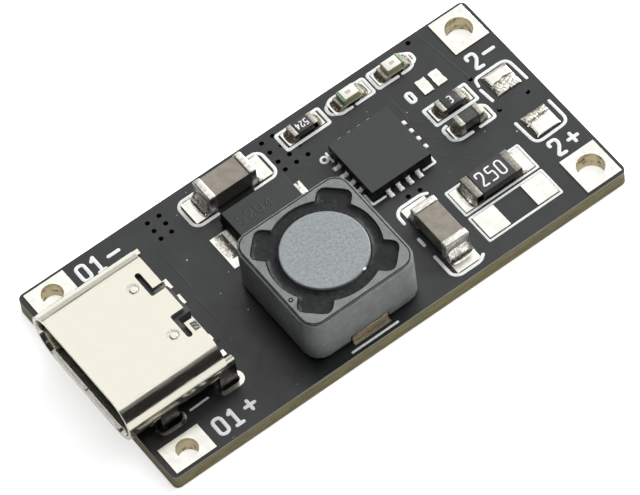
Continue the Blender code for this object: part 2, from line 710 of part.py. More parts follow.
def contact_outline(grow, foot_reach):
    """A contact's side view in X and Z: a foot, a riser in the block and two arms.

    grow widens it all round for the channel that it lies in.
    """
    low, high = tongue_levels()
    low -= SOLDER_FILM
    high += SOLDER_FILM
    thick = CONTACT_THICKNESS
    tip = USB_TONGUE_SETBACK + MID_PLATE_THICKNESS * 2
    foot = USB_LENGTH + foot_reach
    riser = USB_LENGTH - USB_BLOCK_LENGTH / 2
    floor = LAND_HEIGHT + SOLDER_FILM
    return [
        (foot + grow, floor - grow), (foot + grow, floor + thick + grow),
        (riser + thick + grow, floor + thick + grow), (riser + thick + grow, high + thick + grow),
        (tip - grow, high + thick + grow), (tip - grow, high - grow),
        (riser - grow, high - grow), (riser - grow, low + grow),
        (tip - grow, low + grow), (tip - grow, low - thick - grow),
        (riser - grow, low - thick - grow), (riser - grow, floor - grow),
    ]


def add_contact(bm, y, width, grow):
    ring = [bm.verts.new((x, y - width / 2, z)) for x, z in contact_outline(grow, foot_length(y))]
    face = bm.faces.new(ring)
    drawn = bmesh.ops.extrude_face_region(bm, geom=[face])["geom"]
    moved = [item for item in drawn if isinstance(item, bmesh.types.BMVert)]
    bmesh.ops.translate(bm, verts=moved, vec=(0.0, width, 0.0))


def make_usb_inside(materials, carrier):
    """The moulded block with its tongue, the plate inside the tongue and the contacts."""
    plastic = materials["black_moulding"]
    back = USB_LENGTH - SOLDER_FILM
    front = USB_LENGTH - USB_BLOCK_LENGTH
    room = USB_WALL + SOLDER_FILM
    body = [(y, z + room) for y, z in stadium(USB_WIDTH - 2 * room, USB_HEIGHT - 2 * room)]
    bm = bmesh.new()
    add_ring_stack(bm, ((front, body), (back, body)), closed=False)
    housing = finish("usb_housing", bm, plastic, carrier, smooth=True)
    low, high = tongue_levels()
    bm = bmesh.new()
    half = USB_TONGUE_WIDTH / 2
    outline = [
        (USB_TONGUE_SETBACK + USB_TONGUE_THICKNESS / 2, low),
        (front + USB_BLOCK_LENGTH / 4, low), (front + USB_BLOCK_LENGTH / 4, high),
        (USB_TONGUE_SETBACK + USB_TONGUE_THICKNESS / 2, high),
        (USB_TONGUE_SETBACK, high - USB_TONGUE_THICKNESS / 4),
        (USB_TONGUE_SETBACK, low + USB_TONGUE_THICKNESS / 4),
    ]
    ring = [bm.verts.new((x, -half, z)) for x, z in outline]
    drawn = bmesh.ops.extrude_face_region(bm, geom=[bm.faces.new(ring)])["geom"]
    moved = [item for item in drawn if isinstance(item, bmesh.types.BMVert)]
    bmesh.ops.translate(bm, verts=moved, vec=(0.0, USB_TONGUE_WIDTH, 0.0))
    combine(housing, finish("tongue", bm, plastic, carrier), "UNION")
    bm = bmesh.new()
    for _, y in peg_places():
        outline = circle(PEG_DIAMETER / 2, HOLE_STEPS // 2, (USB_LENGTH - USB_BLOCK_LENGTH / 2, y))
        add_prism(bm, outline, -PEG_LENGTH, USB_HEIGHT / 2)
    foot_reach = CONTACT_SPACINGS[-1] / 2 + CONTACT_WIDTH - SOLDER_FILM
    add_box(bm, (front + SOLDER_FILM, -foot_reach, LAND_HEIGHT), (back, foot_reach, USB_HEIGHT / 4))
    ceiling = USB_HEIGHT - room
    lip = HOUSING_LIP_WIDTH / 2
    add_box(bm, (front + SOLDER_FILM, -lip, USB_HEIGHT / 2), (USB_LENGTH + HOUSING_LIP_REACH, lip, ceiling))
    combine(housing, finish("housing_foot", bm, plastic, carrier), "UNION")
    bm = bmesh.new()
    pocket_front = USB_LENGTH - USB_SLOT_SETBACK + USB_SLOT_WIDTH
    for side in (1, -1):
        ys = sorted((side * lip, side * (lip + HOUSING_POCKET_WIDTH)))
        low = (pocket_front, ys[0], ceiling - HOUSING_POCKET_DEPTH)
        add_box(bm, low, (USB_LENGTH + CUT_MARGIN, ys[1], USB_HEIGHT))
    combine(housing, finish("housing_pockets", bm, plastic, carrier), "DIFFERENCE")
    bm = bmesh.new()
    for y in contact_sides():
        add_contact(bm, y, CONTACT_WIDTH + 2 * CONTACT_CLEARANCE, CONTACT_CLEARANCE)
    combine(housing, finish("contact_channels", bm, plastic, carrier), "DIFFERENCE")

    middle = USB_HEIGHT / 2
    half_plate = MID_PLATE_THICKNESS / 2
    tip = USB_TONGUE_SETBACK + USB_TONGUE_THICKNESS
    end = front - USB_TONGUE_THICKNESS
    bm = bmesh.new()
    low_corner = (tip - SOLDER_FILM, -USB_TONGUE_WIDTH, middle - half_plate - SOLDER_FILM)
    add_box(bm, low_corner, (end + SOLDER_FILM, USB_TONGUE_WIDTH, middle + half_plate + SOLDER_FILM))
    combine(housing, finish("plate_slot", bm, plastic, carrier), "DIFFERENCE")
    reach = USB_TONGUE_WIDTH / 2 + MID_PLATE_STEP
    box_object(
        "usb_mid_plate", (tip, -reach, middle - half_plate), (end, reach, middle + half_plate),
        materials["nickel_shell"], carrier,
    )
    for number, y in enumerate(sorted(contact_sides()), start=1):
        bm = bmesh.new()
        add_contact(bm, y, CONTACT_WIDTH, 0.0)
        finish("usb_contact_%d" % number, bm, materials["gilt_contact"], carrier)


def make_usb(materials, carrier):
    place = (-HALF_LENGTH - USB_OVERHANG, 0.0, BOARD_TOP + SOLDER_FILM)
    usb = group("usb_inlet", place, carrier)
    make_usb_shell(materials, usb)
    make_usb_inside(materials, usb)


def pocket_outlines(shrink):
    """The four glue pockets on the diagonals, each as a rounded outline."""
    outlines = []
    inner = BORE_RADIUS - POCKET_CORNER_RADIUS * 2
    reach = BORE_RADIUS + POCKET_BITE - shrink
    width = POCKET_WIDTH - 2 * shrink
    for quarter in range(4):
        turn = Matrix.Rotation(math.radians(45 + 90 * quarter), 2)
        flat = rounded_rectangle(
            reach - inner, width, POCKET_CORNER_RADIUS - shrink, ((reach + inner) / 2, 0.0), 3,
        )
        outlines.append([tuple(turn @ Vector(point)) for point in flat])
    return outlines


def make_inductor_shield(materials, carrier):
    """Square ferrite ring with a stepped rim, a round bore, glue pockets and terminal notches."""
    ferrite = materials["ferrite"]
    step_width = INDUCTOR_WIDTH - 2 * RIM_STEP
    step_radius = INDUCTOR_CORNER_RADIUS - RIM_STEP
    bm = bmesh.new()
    body = rounded_rectangle(INDUCTOR_WIDTH, INDUCTOR_WIDTH, INDUCTOR_CORNER_RADIUS)
    add_prism(bm, body, INDUCTOR_LIFT, INDUCTOR_HEIGHT - RIM_STEP)
    shield = finish("inductor_shield", bm, ferrite, carrier, smooth=True)
    bm = bmesh.new()
    rim = rounded_rectangle(step_width, step_width, step_radius)
    add_prism(bm, rim, INDUCTOR_HEIGHT / 2, INDUCTOR_HEIGHT)
    combine(shield, finish("shield_rim", bm, ferrite, carrier), "UNION")
    bm = bmesh.new()
    add_prism(bm, circle(BORE_RADIUS, 2 * ROUND_STEPS), -CUT_MARGIN, INDUCTOR_HEIGHT + CUT_MARGIN)
    combine(shield, finish("shield_bore", bm, ferrite, carrier), "DIFFERENCE")
    bm = bmesh.new()
    for outline in pocket_outlines(0.0):
        add_prism(bm, outline, INDUCTOR_HEIGHT - POCKET_DEPTH, INDUCTOR_HEIGHT + CUT_MARGIN)
    combine(shield, finish("shield_pockets", bm, ferrite, carrier), "DIFFERENCE")
    bm = bmesh.new()
    half = TERMINAL_WIDTH / 2 + NOTCH_CLEARANCE
    add_box(bm, (-half, -INDUCTOR_WIDTH, 0.0), (half, INDUCTOR_WIDTH, TERMINAL_LIP + NOTCH_CLEARANCE))
    combine(shield, finish("shield_notches", bm, ferrite, carrier), "DIFFERENCE")


def make_inductor_core(materials, carrier):
    """The base plate with its two clips, the drum, its winding and the glue that locks them."""
    under = TERMINAL_THICKNESS + SOLDER_FILM
    base_top = under + BASE_THICKNESS
    bm = bmesh.new()
    add_prism(bm, circle(BORE_RADIUS - SOLDER_FILM, ROUND_STEPS), under, base_top)
    base = finish("inductor_base", bm, materials["base_plate"], carrier)
    bm = bmesh.new()
    lug_reach = INDUCTOR_WIDTH / 2 - TERMINAL_THICKNESS
    half = TERMINAL_WIDTH / 2 - SOLDER_FILM
    add_box(bm, (-half, -lug_reach, under), (half, lug_reach, base_top))
    combine(base, finish("base_lugs", bm, materials["base_plate"], carrier), "UNION")

    for name, side in (("inductor_terminal_near", -1), ("inductor_terminal_far", 1)):
        outer = lug_reach + SOLDER_FILM + TERMINAL_THICKNESS
        outline = [
            (outer - TERMINAL_FOOT, 0.0), (outer, 0.0), (outer, TERMINAL_LIP),
            (lug_reach + SOLDER_FILM, TERMINAL_LIP), (lug_reach + SOLDER_FILM, TERMINAL_THICKNESS),
            (outer - TERMINAL_FOOT, TERMINAL_THICKNESS),
        ]
        bm = bmesh.new()
        ring = [bm.verts.new((-TERMINAL_WIDTH / 2, side * y, z)) for y, z in outline]
        drawn = bmesh.ops.extrude_face_region(bm, geom=[bm.faces.new(ring)])["geom"]
        moved = [item for item in drawn if isinstance(item, bmesh.types.BMVert)]
        bmesh.ops.translate(bm, verts=moved, vec=(TERMINAL_WIDTH, 0.0, 0.0))
        finish(name, bm, materials["gilt_contact"], carrier)

    foot = base_top + SOLDER_FILM
    top = INDUCTOR_HEIGHT + DRUM_PROUD
    outside = DRUM_RADIUS - WINDING_SETBACK
    post = outside - WINDING_DEPTH
    chamfer = RIM_STEP / 2
    foot_radius = BORE_RADIUS - DRUM_FOOT_GAP
    bm = bmesh.new()
    drum_profile = [
        (0.0, foot), (foot_radius, foot), (foot_radius, foot + DRUM_FLANGE),
        (post, foot + DRUM_FLANGE), (post, top - DRUM_FLANGE),
        (DRUM_RADIUS, top - DRUM_FLANGE), (DRUM_RADIUS, top - chamfer),
        (DRUM_RADIUS - chamfer, top), (0.0, top),
    ]
    add_turned(bm, drum_profile, 2 * ROUND_STEPS)
    finish("inductor_drum", bm, materials["ferrite_drum"], carrier, smooth=True)

    bottom = foot + DRUM_FLANGE + SOLDER_FILM
    ceiling = top - DRUM_FLANGE - SOLDER_FILM
    pitch = (ceiling - bottom) / WINDING_TURNS
    profile = [(post + SOLDER_FILM, bottom)]
    for turn in range(WINDING_TURNS):
        middle = bottom + (turn + 0.5) * pitch
        profile += [(outside - pitch / 3, middle - pitch / 2), (outside, middle)]
    profile += [(outside - pitch / 3, ceiling), (post + SOLDER_FILM, ceiling)]
    bm = bmesh.new()
    add_turned(bm, profile)
    finish("inductor_winding", bm, materials["enamelled_wire"], carrier, smooth=True)
    make_inductor_glue(materials["dark_glue"], carrier)


def make_inductor_glue(material, carrier):
    """One poured ring between drum and shield, with a lobe in each pocket."""
    high = INDUCTOR_HEIGHT - GLUE_SUNK
    low = high - GLUE_THICKNESS
    bm = bmesh.new()
    add_prism(bm, circle(BORE_RADIUS - SOLDER_FILM, 2 * ROUND_STEPS), low, high)
    glue = finish("inductor_glue", bm, material, carrier, smooth=True)
    bm = bmesh.new()
    for outline in pocket_outlines(SOLDER_FILM):
        add_prism(bm, outline, low, high)
    combine(glue, finish("glue_lobes", bm, material, carrier), "UNION")
    bm = bmesh.new()
    hole = circle(DRUM_RADIUS + SOLDER_FILM, 2 * ROUND_STEPS)
    add_prism(bm, hole, low - CUT_MARGIN, high + CUT_MARGIN)
    combine(glue, finish("glue_hole", bm, material, carrier), "DIFFERENCE")


def make_inductor(materials, carrier):
    inductor = group("power_inductor", (INDUCTOR_X, INDUCTOR_Y, SEAT), carrier)
    make_inductor_shield(materials, inductor)
    make_inductor_core(materials, inductor)


def make_diode(materials, carrier):
    """A flat moulded diode: a body with drafted sides and two flat leads."""
    diode = group("protection_diode", (DIODE_X, diode_y(), SEAT), carrier)
    half_x = DIODE_LENGTH / 2
    half_y = DIODE_WIDTH / 2
    parting = DIODE_HEIGHT * DIODE_PARTING
    bm = bmesh.new()
    rings = []
    for level, inset in ((0.0, DIODE_DRAFT / 2), (parting, 0.0), (DIODE_HEIGHT, DIODE_DRAFT)):
        x = half_x - inset
        y = half_y - inset
        ring = [bm.verts.new(point) for point in ((x, y, level), (-x, y, level), (-x, -y, level), (x, -y, level))]
        rings.append(ring)
    for low, high in zip(rings, rings[1:]):
        for i in range(4):
            bm.faces.new((low[i], low[(i + 1) % 4], high[(i + 1) % 4], high[i]))
    bm.faces.new(rings[0])
    bm.faces.new(rings[-1])
    body = finish("diode_body", bm, materials["diode_moulding"], diode)
    bm = bmesh.new()
    tuck = half_x - DIODE_LEAD_TUCK
    room = SOLDER_FILM
    for side in (1, -1):
        xs = sorted((side * (tuck - room), side * (half_x + CUT_MARGIN)))
        half_lead = DIODE_LEAD_WIDTH / 2 + room
        add_box(bm, (xs[0], -half_lead, -CUT_MARGIN), (xs[1], half_lead, DIODE_LEAD_THICKNESS + room))
    combine(body, finish("lead_recesses", bm, materials["diode_moulding"], diode), "DIFFERENCE")
    for name, side in (("diode_lead_left", -1), ("diode_lead_right", 1)):
        xs = sorted((side * tuck, side * (half_x + DIODE_LEAD_REACH)))
        low = (xs[0], -DIODE_LEAD_WIDTH / 2, 0.0)
        lead = box_object(
            name, low, (xs[1], DIODE_LEAD_WIDTH / 2, DIODE_LEAD_THICKNESS), materials["tin_cap"], diode,
        )
        round_edges(lead, DIODE_LEAD_THICKNESS / 5)


def make_charger_chip(materials, carrier):
    """A square leadless package, its sixteen lead ends and the heat pad in its underside."""
    chip = group("charger_chip_group", (CHIP_X, CHIP_Y, SEAT), carrier)
    half = CHIP_WIDTH / 2
    bm = bmesh.new()
    add_box(bm, (-half, -half, 0.0), (half, half, CHIP_HEIGHT))
    package = finish("charger_chip", bm, materials["chip_moulding"], chip)
    bm = bmesh.new()
    reach = half + CHIP_LEAD_PROUD
    inner = half - CHIP_LEAD_WIDTH
    for offset in chip_lead_offsets():
        low = offset - CHIP_LEAD_WIDTH / 2
        high = offset + CHIP_LEAD_WIDTH / 2
        for start, end in ((inner, reach), (-reach, -inner)):
            add_box(bm, (start, low, 0.0), (end, high, CHIP_LEAD_HEIGHT))
            add_box(bm, (low, start, 0.0), (high, end, CHIP_LEAD_HEIGHT))
    combine(package, finish("chip_leads", bm, materials["tin_cap"], chip), "UNION")
    pad_half = CHIP_PAD_WIDTH / 2
    pocket_half = pad_half + SOLDER_FILM
    bm = bmesh.new()
    low = (-pocket_half, -pocket_half, -CUT_MARGIN)
    add_box(bm, low, (pocket_half, pocket_half, CHIP_PAD_THICKNESS + SOLDER_FILM))
    combine(package, finish("heat_pad_pocket", bm, materials["chip_moulding"], chip), "DIFFERENCE")
    low = (-pad_half, -pad_half, 0.0)
    box_object("chip_heat_pad", low, (pad_half, pad_half, CHIP_PAD_THICKNESS), materials["tin_cap"], chip)


def make_capacitor(name, place, turned, size, end, skin, materials, carrier):
    """A ceramic block in two five-sided metal caps."""
    length, width, height = size
    capacitor = group(name + "_group", (*place, SEAT), carrier)
    capacitor.rotation_euler = (0.0, 0.0, math.radians(90 if turned else 0))
    block = [length / 2 - skin - SOLDER_FILM, width / 2 - skin, height - skin]
    body = box_object(
        name + "_ceramic", (-block[0], -block[1], skin), (block[0], block[1], block[2]),
        materials["ceramic"], capacitor,
    )
    round_edges(body, skin / 2)
    room = SOLDER_FILM
    for ending, side in (("_end_a", -1), ("_end_b", 1)):
        bm = bmesh.new()
        xs = sorted((side * (length / 2 - end), side * length / 2))
        grow = skin - room
        add_box(bm, (xs[0], -width / 2 - grow, -grow / 2), (xs[1], width / 2 + grow, height + grow))
        cap = finish(name + ending, bm, materials["tin_cap"], capacitor, smooth=True)
        round_edges(cap, skin, 2)
        bm = bmesh.new()
        xs = sorted((0.0, side * (block[0] + room)))
        low = (xs[0], -block[1] - room, skin - room)
        add_box(bm, low, (xs[1], block[1] + room, block[2] + room))
        combine(cap, finish(name + ending + "_hollow", bm, materials["tin_cap"], capacitor), "DIFFERENCE")


def make_resistor(name, place, size, end, skin, coat_step, materials, carrier):
    """A flat ceramic chip with a raised dark coat, held in two wrapped ends."""
    length, width, height = size
    resistor = group(name + "_group", (*place, SEAT), carrier)
    inner = length / 2 - skin - SOLDER_FILM
    top = height - skin - SOLDER_FILM
    body = box_object(
        name + "_chip", (-inner, -width / 2, skin + SOLDER_FILM), (inner, width / 2, top),
        materials["resistor_coat"], resistor,
    )
    bm = bmesh.new()
    coat = length / 2 - end - SOLDER_FILM
    add_box(bm, (-coat, -width / 2, height / 2), (coat, width / 2, height + coat_step))
    combine(body, finish(name + "_coat", bm, materials["resistor_coat"], resistor), "UNION")
    for ending, side in (("_end_a", -1), ("_end_b", 1)):
        outer = side * length / 2
        wall = side * (length / 2 - skin)
        lip = side * (length / 2 - end)
        outline = [
            (lip, 0.0), (outer, 0.0), (outer, height), (lip, height),
            (lip, height - skin), (wall, height - skin), (wall, skin), (lip, skin),
        ]
        bm = bmesh.new()
        ring = [bm.verts.new((x, -width / 2, z)) for x, z in outline]
        drawn = bmesh.ops.extrude_face_region(bm, geom=[bm.faces.new(ring)])["geom"]
        moved = [item for item in drawn if isinstance(item, bmesh.types.BMVert)]
        bmesh.ops.translate(bm, verts=moved, vec=(0.0, width, 0.0))
        finish(name + ending, bm, materials["tin_cap"], resistor)


def make_light(name, place, flipped, materials, carrier):
    """A chip light: a thin base in two wrapped ends, with a clear block on top."""
    light = group(name + "_group", (*place, SEAT), carrier)
    light.rotation_euler = (0.0, 0.0, math.radians(180 if flipped else 0))
    half_y = LIGHT_WIDTH / 2
    inner = LIGHT_LENGTH / 2 - LIGHT_SKIN - SOLDER_FILM
    low = LIGHT_SKIN + SOLDER_FILM
    high = LIGHT_BASE_HEIGHT - LIGHT_SKIN - SOLDER_FILM
    box_object(name + "_base", (-inner, -half_y, low), (inner, half_y, high), materials["light_base"], light)
    bm = bmesh.new()
    lens_half = LIGHT_LENS_LENGTH / 2
    foot = high + SOLDER_FILM
    verts = add_box(bm, (-lens_half, -half_y, foot), (lens_half, half_y, LIGHT_BASE_HEIGHT + LIGHT_LENS_HEIGHT))
    for vert in verts:
        if vert.co.z > foot + LIGHT_LENS_HEIGHT / 2:
            vert.co.x -= math.copysign(LIGHT_LENS_TAPER, vert.co.x)
            vert.co.y -= math.copysign(LIGHT_LENS_TAPER, vert.co.y)
    finish(name + "_lens", bm, materials["light_lens"], light)
    end = min(LIGHT_END, LIGHT_LENGTH / 2 - lens_half - SOLDER_FILM)
    for ending, side in (("_end_a", -1), ("_end_b", 1)):
        outer = side * LIGHT_LENGTH / 2
        wall = side * (LIGHT_LENGTH / 2 - LIGHT_SKIN)
        lip = side * (LIGHT_LENGTH / 2 - end)
        top = LIGHT_BASE_HEIGHT
        outline = [
            (lip, 0.0), (outer, 0.0), (outer, top), (lip, top),
            (lip, top - LIGHT_SKIN), (wall, top - LIGHT_SKIN), (wall, LIGHT_SKIN), (lip, LIGHT_SKIN),
        ]
        bm = bmesh.new()
        ring = [bm.verts.new((x, -half_y, z)) for x, z in outline]
        drawn = bmesh.ops.extrude_face_region(bm, geom=[bm.faces.new(ring)])["geom"]
        moved = [item for item in drawn if isinstance(item, bmesh.types.BMVert)]
        bmesh.ops.translate(bm, verts=moved, vec=(0.0, LIGHT_WIDTH, 0.0))
        finish(name + ending, bm, materials["tin_cap"], light)


def make_chip_parts(materials, carrier):
    large = (CAP_LENGTH, CAP_WIDTH, CAP_HEIGHT)
    small = (SMALL_CAP_LENGTH, SMALL_CAP_WIDTH, SMALL_CAP_HEIGHT)
    sense = (SENSE_LENGTH, SENSE_WIDTH, SENSE_HEIGHT)
    resistor = (RESISTOR_LENGTH, RESISTOR_WIDTH, RESISTOR_HEIGHT)
    make_capacitor("input_capacitor", INPUT_CAP_FROM_CENTRE, False, large, CAP_END, CAP_SKIN, materials, carrier)
    make_capacitor("output_capacitor", OUTPUT_CAP_FROM_CENTRE, True, large, CAP_END, CAP_SKIN, materials, carrier)
    place = from_end(SMALL_CAP_FROM_END)
    make_capacitor("small_capacitor", place, False, small, SMALL_CAP_END, SMALL_CAP_SKIN, materials, carrier)
    place = from_end(SENSE_FROM_END)
    make_resistor("sense_resistor", place, sense, SENSE_END, SENSE_SKIN, SENSE_COAT_STEP, materials, carrier)
    place = from_end(CODE_RESISTOR_FROM_END)
    step = RESISTOR_COAT_STEP
    make_resistor("code_resistor", place, resistor, RESISTOR_END, RESISTOR_SKIN, step, materials, carrier)
    resistor_x, first_x, second_x = LIGHT_ROW_X
    place = (resistor_x, light_row_y())
    make_resistor("light_resistor", place, resistor, RESISTOR_END, RESISTOR_SKIN, step, materials, carrier)
    make_light("charge_light", (first_x, light_row_y()), True, materials, carrier)
    make_light("full_light", (second_x, light_row_y()), False, materials, carrier)


def main():
    clear_scene()
    materials = {name: make_material(name, *look) for name, look in MATERIAL_LOOKS.items()}
    module = group("charger_module", (0.0, 0.0, 0.0))
    make_board(materials, module)
    make_wire_pads(materials, module)
    make_bare_lands(materials, module)
    make_usb(materials, module)
    make_inductor(materials, module)
    make_diode(materials, module)
    make_charger_chip(materials, module)
    make_chip_parts(materials, module)


main()
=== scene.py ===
"""Dresses the battery charger module: the finish of each part, the solder, the print and the stage.

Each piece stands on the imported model, in metres, with +Z up and the board's underside at zero.
"""

import math
from contextlib import contextmanager

import bpy
from bpy.props import FloatProperty, FloatVectorProperty, PointerProperty
from mathutils import Matrix, Vector


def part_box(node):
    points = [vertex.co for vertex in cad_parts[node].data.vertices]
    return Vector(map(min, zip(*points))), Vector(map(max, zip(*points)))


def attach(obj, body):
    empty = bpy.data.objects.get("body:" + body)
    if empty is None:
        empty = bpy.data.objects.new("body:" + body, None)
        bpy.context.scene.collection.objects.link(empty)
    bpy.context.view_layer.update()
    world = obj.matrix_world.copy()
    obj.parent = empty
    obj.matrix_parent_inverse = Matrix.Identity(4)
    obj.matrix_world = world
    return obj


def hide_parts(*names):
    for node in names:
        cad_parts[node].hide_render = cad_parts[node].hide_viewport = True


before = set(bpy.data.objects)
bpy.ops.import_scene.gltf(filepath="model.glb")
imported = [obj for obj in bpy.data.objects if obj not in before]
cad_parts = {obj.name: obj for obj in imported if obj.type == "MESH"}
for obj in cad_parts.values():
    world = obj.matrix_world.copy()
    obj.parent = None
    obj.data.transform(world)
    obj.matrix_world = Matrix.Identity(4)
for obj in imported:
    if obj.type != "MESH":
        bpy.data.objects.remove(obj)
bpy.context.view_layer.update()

bl_info = {
    "name": "Charger Module Dresser",
    "version": (1, 0, 0),
    "blender": (4, 5, 0),
    "location": "View3D > Sidebar > Charger",
    "description": "Finishes, solder, print and stage for a battery charger module",
    "category": "Object",
}

MM = 0.001
TAU = math.tau
BODY = "root"
BOARD_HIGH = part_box("board")[1]
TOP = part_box("spare_land_left")[0].z - 0.03 * MM
LAND_TOP = TOP + 0.04 * MM


def length(name, description, size):
    """A length of the panel, given in millimetres."""
    return FloatProperty(name=name, description=description, default=size * MM, unit="LENGTH")


def colour(name, description, value):
    """A colour of the panel, as linear values."""
    return FloatVectorProperty(name=name, description=description, subtype="COLOR", default=value)


class CHARGER_PG_sizes(bpy.types.PropertyGroup):
    """Sizes that shape the dressed pieces."""

    ink_height: length("Ink height", "Thickness of the printed lines", 0.012)
    ink_width: length("Line width", "Width of a printed outline", 0.19)
    fine_ink_width: length("Fine line width", "Width of the thin printed outlines", 0.14)
    sign_height: length("Sign height", "Height of the printed terminal signs", 1.04)
    track_height: length("Track height", "Rise of a copper track under the mask", 0.005)
    solder_sag: FloatProperty(
        name="Solder sag", description="How hollow a solder slope is, from 1 for straight", default=2.1)
    sheet_edge: length("Sheet edge", "Rounding of the inlet's sheet edges", 0.045)
    ferrite_edge: length("Ferrite edge", "Rounding of the ferrite's edges", 0.055)
    moulding_edge: length("Moulding edge", "Rounding of the moulded packages", 0.022)
    glue_grain: length("Glue grain", "Size of the mesh that the poured glue is drawn with", 0.055)


class CHARGER_PG_colours(bpy.types.PropertyGroup):
    """Colours of the finishes, as linear values."""

    mask: colour("Solder mask", "Colour of the mask", (0.0115, 0.0135, 0.0130))
    laminate: colour("Laminate", "Colour of the cut glass-fibre edge", (0.205, 0.178, 0.066))
    ink: colour("Ink", "Colour of the print", (0.95, 0.97, 0.96))
    nickel: colour("Nickel", "Colour of the inlet's sheet", (0.66, 0.635, 0.55))
    tin: colour("Tin", "Colour of solder and tinned copper", (0.72, 0.71, 0.66))
    gilt: colour("Gilt", "Colour of gilded metal", (0.80, 0.62, 0.32))
    ferrite: colour("Ferrite", "Colour of the inductor's ring", (0.232, 0.252, 0.248))
    drum: colour("Drum", "Colour of the inductor's ground drum", (0.335, 0.365, 0.372))
    glue: colour("Glue", "Colour of the poured glue", (0.010, 0.011, 0.011))
    chip: colour("Moulding compound", "Colour of the moulded packages", (0.026, 0.0305, 0.031))
    ceramic: colour("Ceramic", "Colour of the capacitors", (0.295, 0.264, 0.215))
    resin: colour("Resin", "Colour of the lights' clear blocks", (1.0, 1.0, 0.88))
    floor: colour("Floor", "Colour of the floor", (0.93, 0.93, 0.93))


# Helpers for modelling

def only(piece):
    """Selects one object and nothing else."""
    bpy.ops.object.select_all(action="DESELECT")
    piece.select_set(True)
    bpy.context.view_layer.objects.active = piece


@contextmanager
def editing(piece):
    """Edit mode on one piece, with everything selected."""
    only(piece)
    bpy.ops.object.mode_set(mode="EDIT")
    bpy.ops.mesh.select_mode(type="VERT")
    bpy.ops.mesh.select_all(action="SELECT")
    yield
    bpy.ops.object.mode_set(mode="OBJECT")


def settle(piece):
    """Puts the piece's place, turn and size into its mesh."""
    only(piece)
    bpy.ops.object.transform_apply(location=True, rotation=True, scale=True)


def added(name, make, **where):
    """Adds a primitive with nothing else selected, names it and settles it."""
    if bpy.context.view_layer.objects.active:
        bpy.ops.object.select_all(action="DESELECT")
    make(**where)
    piece = bpy.context.active_object
    piece.name = name
    settle(piece)
    return piece


def block(name, low, high):
    """A block between two corners, as a start to shape."""
    low, high = Vector(low), Vector(high)
    return added(name, bpy.ops.mesh.primitive_cube_add, size=1.0, location=(low + high) / 2, scale=high - low)


def copy_of(node, name):
    """A piece with a node's form, its loose triangles joined and its flat faces made whole."""
    piece = bpy.data.objects.new(name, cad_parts[node].data.copy())
    bpy.context.collection.objects.link(piece)
    piece.data.materials.clear()
    with editing(piece):
        bpy.ops.mesh.remove_doubles(threshold=1e-7)
        bpy.ops.mesh.customdata_custom_splitnormals_clear()
        bpy.ops.mesh.dissolve_limited(angle_limit=math.radians(0.4))
    return piece


def modified(piece, name, kind, **settings):
    """Adds a modifier, sets it and applies it."""
    only(piece)
    modifier = piece.modifiers.new(name, kind)
    for key, value in settings.items():
        setattr(modifier, key, value)
    bpy.ops.object.modifier_apply(modifier=name)


def soften(piece, width, segments, angle):
    """Rounds the edges that turn more than an angle, and shades the piece so that flat faces stay flat."""
    modified(
        piece, "round_edges", "BEVEL", width=width, segments=segments, limit_method="ANGLE",
        angle_limit=math.radians(angle), use_clamp_overlap=True,
    )
    smooth(piece, 60)
    modified(piece, "flat_faces", "WEIGHTED_NORMAL", keep_sharp=True)


def smooth(piece, angle):
    """Shades the piece smooth, apart from edges that turn more than an angle."""
    only(piece)
    bpy.ops.object.shade_smooth_by_angle(angle=math.radians(angle))


def wavy(piece, size, strength, name):
    """Moves the surface in and out by a cloudy texture."""
    clouds = bpy.data.textures.new(name, "CLOUDS")
    clouds.noise_scale = size
    modified(
        piece, "waves", "DISPLACE", texture=clouds, strength=strength, mid_level=0.5, texture_coords="LOCAL",
    )


def joined(name, pieces):
    """Makes one piece of several."""
    bpy.ops.object.select_all(action="DESELECT")
    for piece in pieces:
        piece.select_set(True)
    bpy.context.view_layer.objects.active = pieces[0]
    if len(pieces) > 1:
        bpy.ops.object.join()
    pieces[0].name = name
    return pieces[0]


def duplicate(piece, name, matrix):
    """A copy with its own mesh, put through a matrix."""
    twin = bpy.data.objects.new(name, piece.data.copy())
    bpy.context.collection.objects.link(twin)
    twin.data.transform(matrix)
    return twin


def wear(piece, finishes, nodes=(), rule=None):
    """Gives a piece its finishes, its body and the nodes that it stands for."""
    piece.data.materials.clear()
    for name in [finishes] if isinstance(finishes, str) else finishes:
        piece.data.materials.append(material(name))
    if rule:
        for face in piece.data.polygons:
            face.material_index = rule(face)
    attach(piece, BODY)
    if nodes:
        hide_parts(*nodes)


def dressed(node, name, slot, finishes, edge, segments=2, angle=40, rule=None):
    """A copy of a node, its edges rounded and its faces finished, which stands for the node."""
    piece = copy_of(node, name)
    soften(piece, edge, segments, angle)
    wear(piece, finishes, [node], rule)
    return piece


def dress_node(node, name):
    """A CAD node that stays as it is gets its finish in its own slot."""
    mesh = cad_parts[node].data
    mesh.materials.clear()
    mesh.materials.append(material(name))


# Helpers for materials

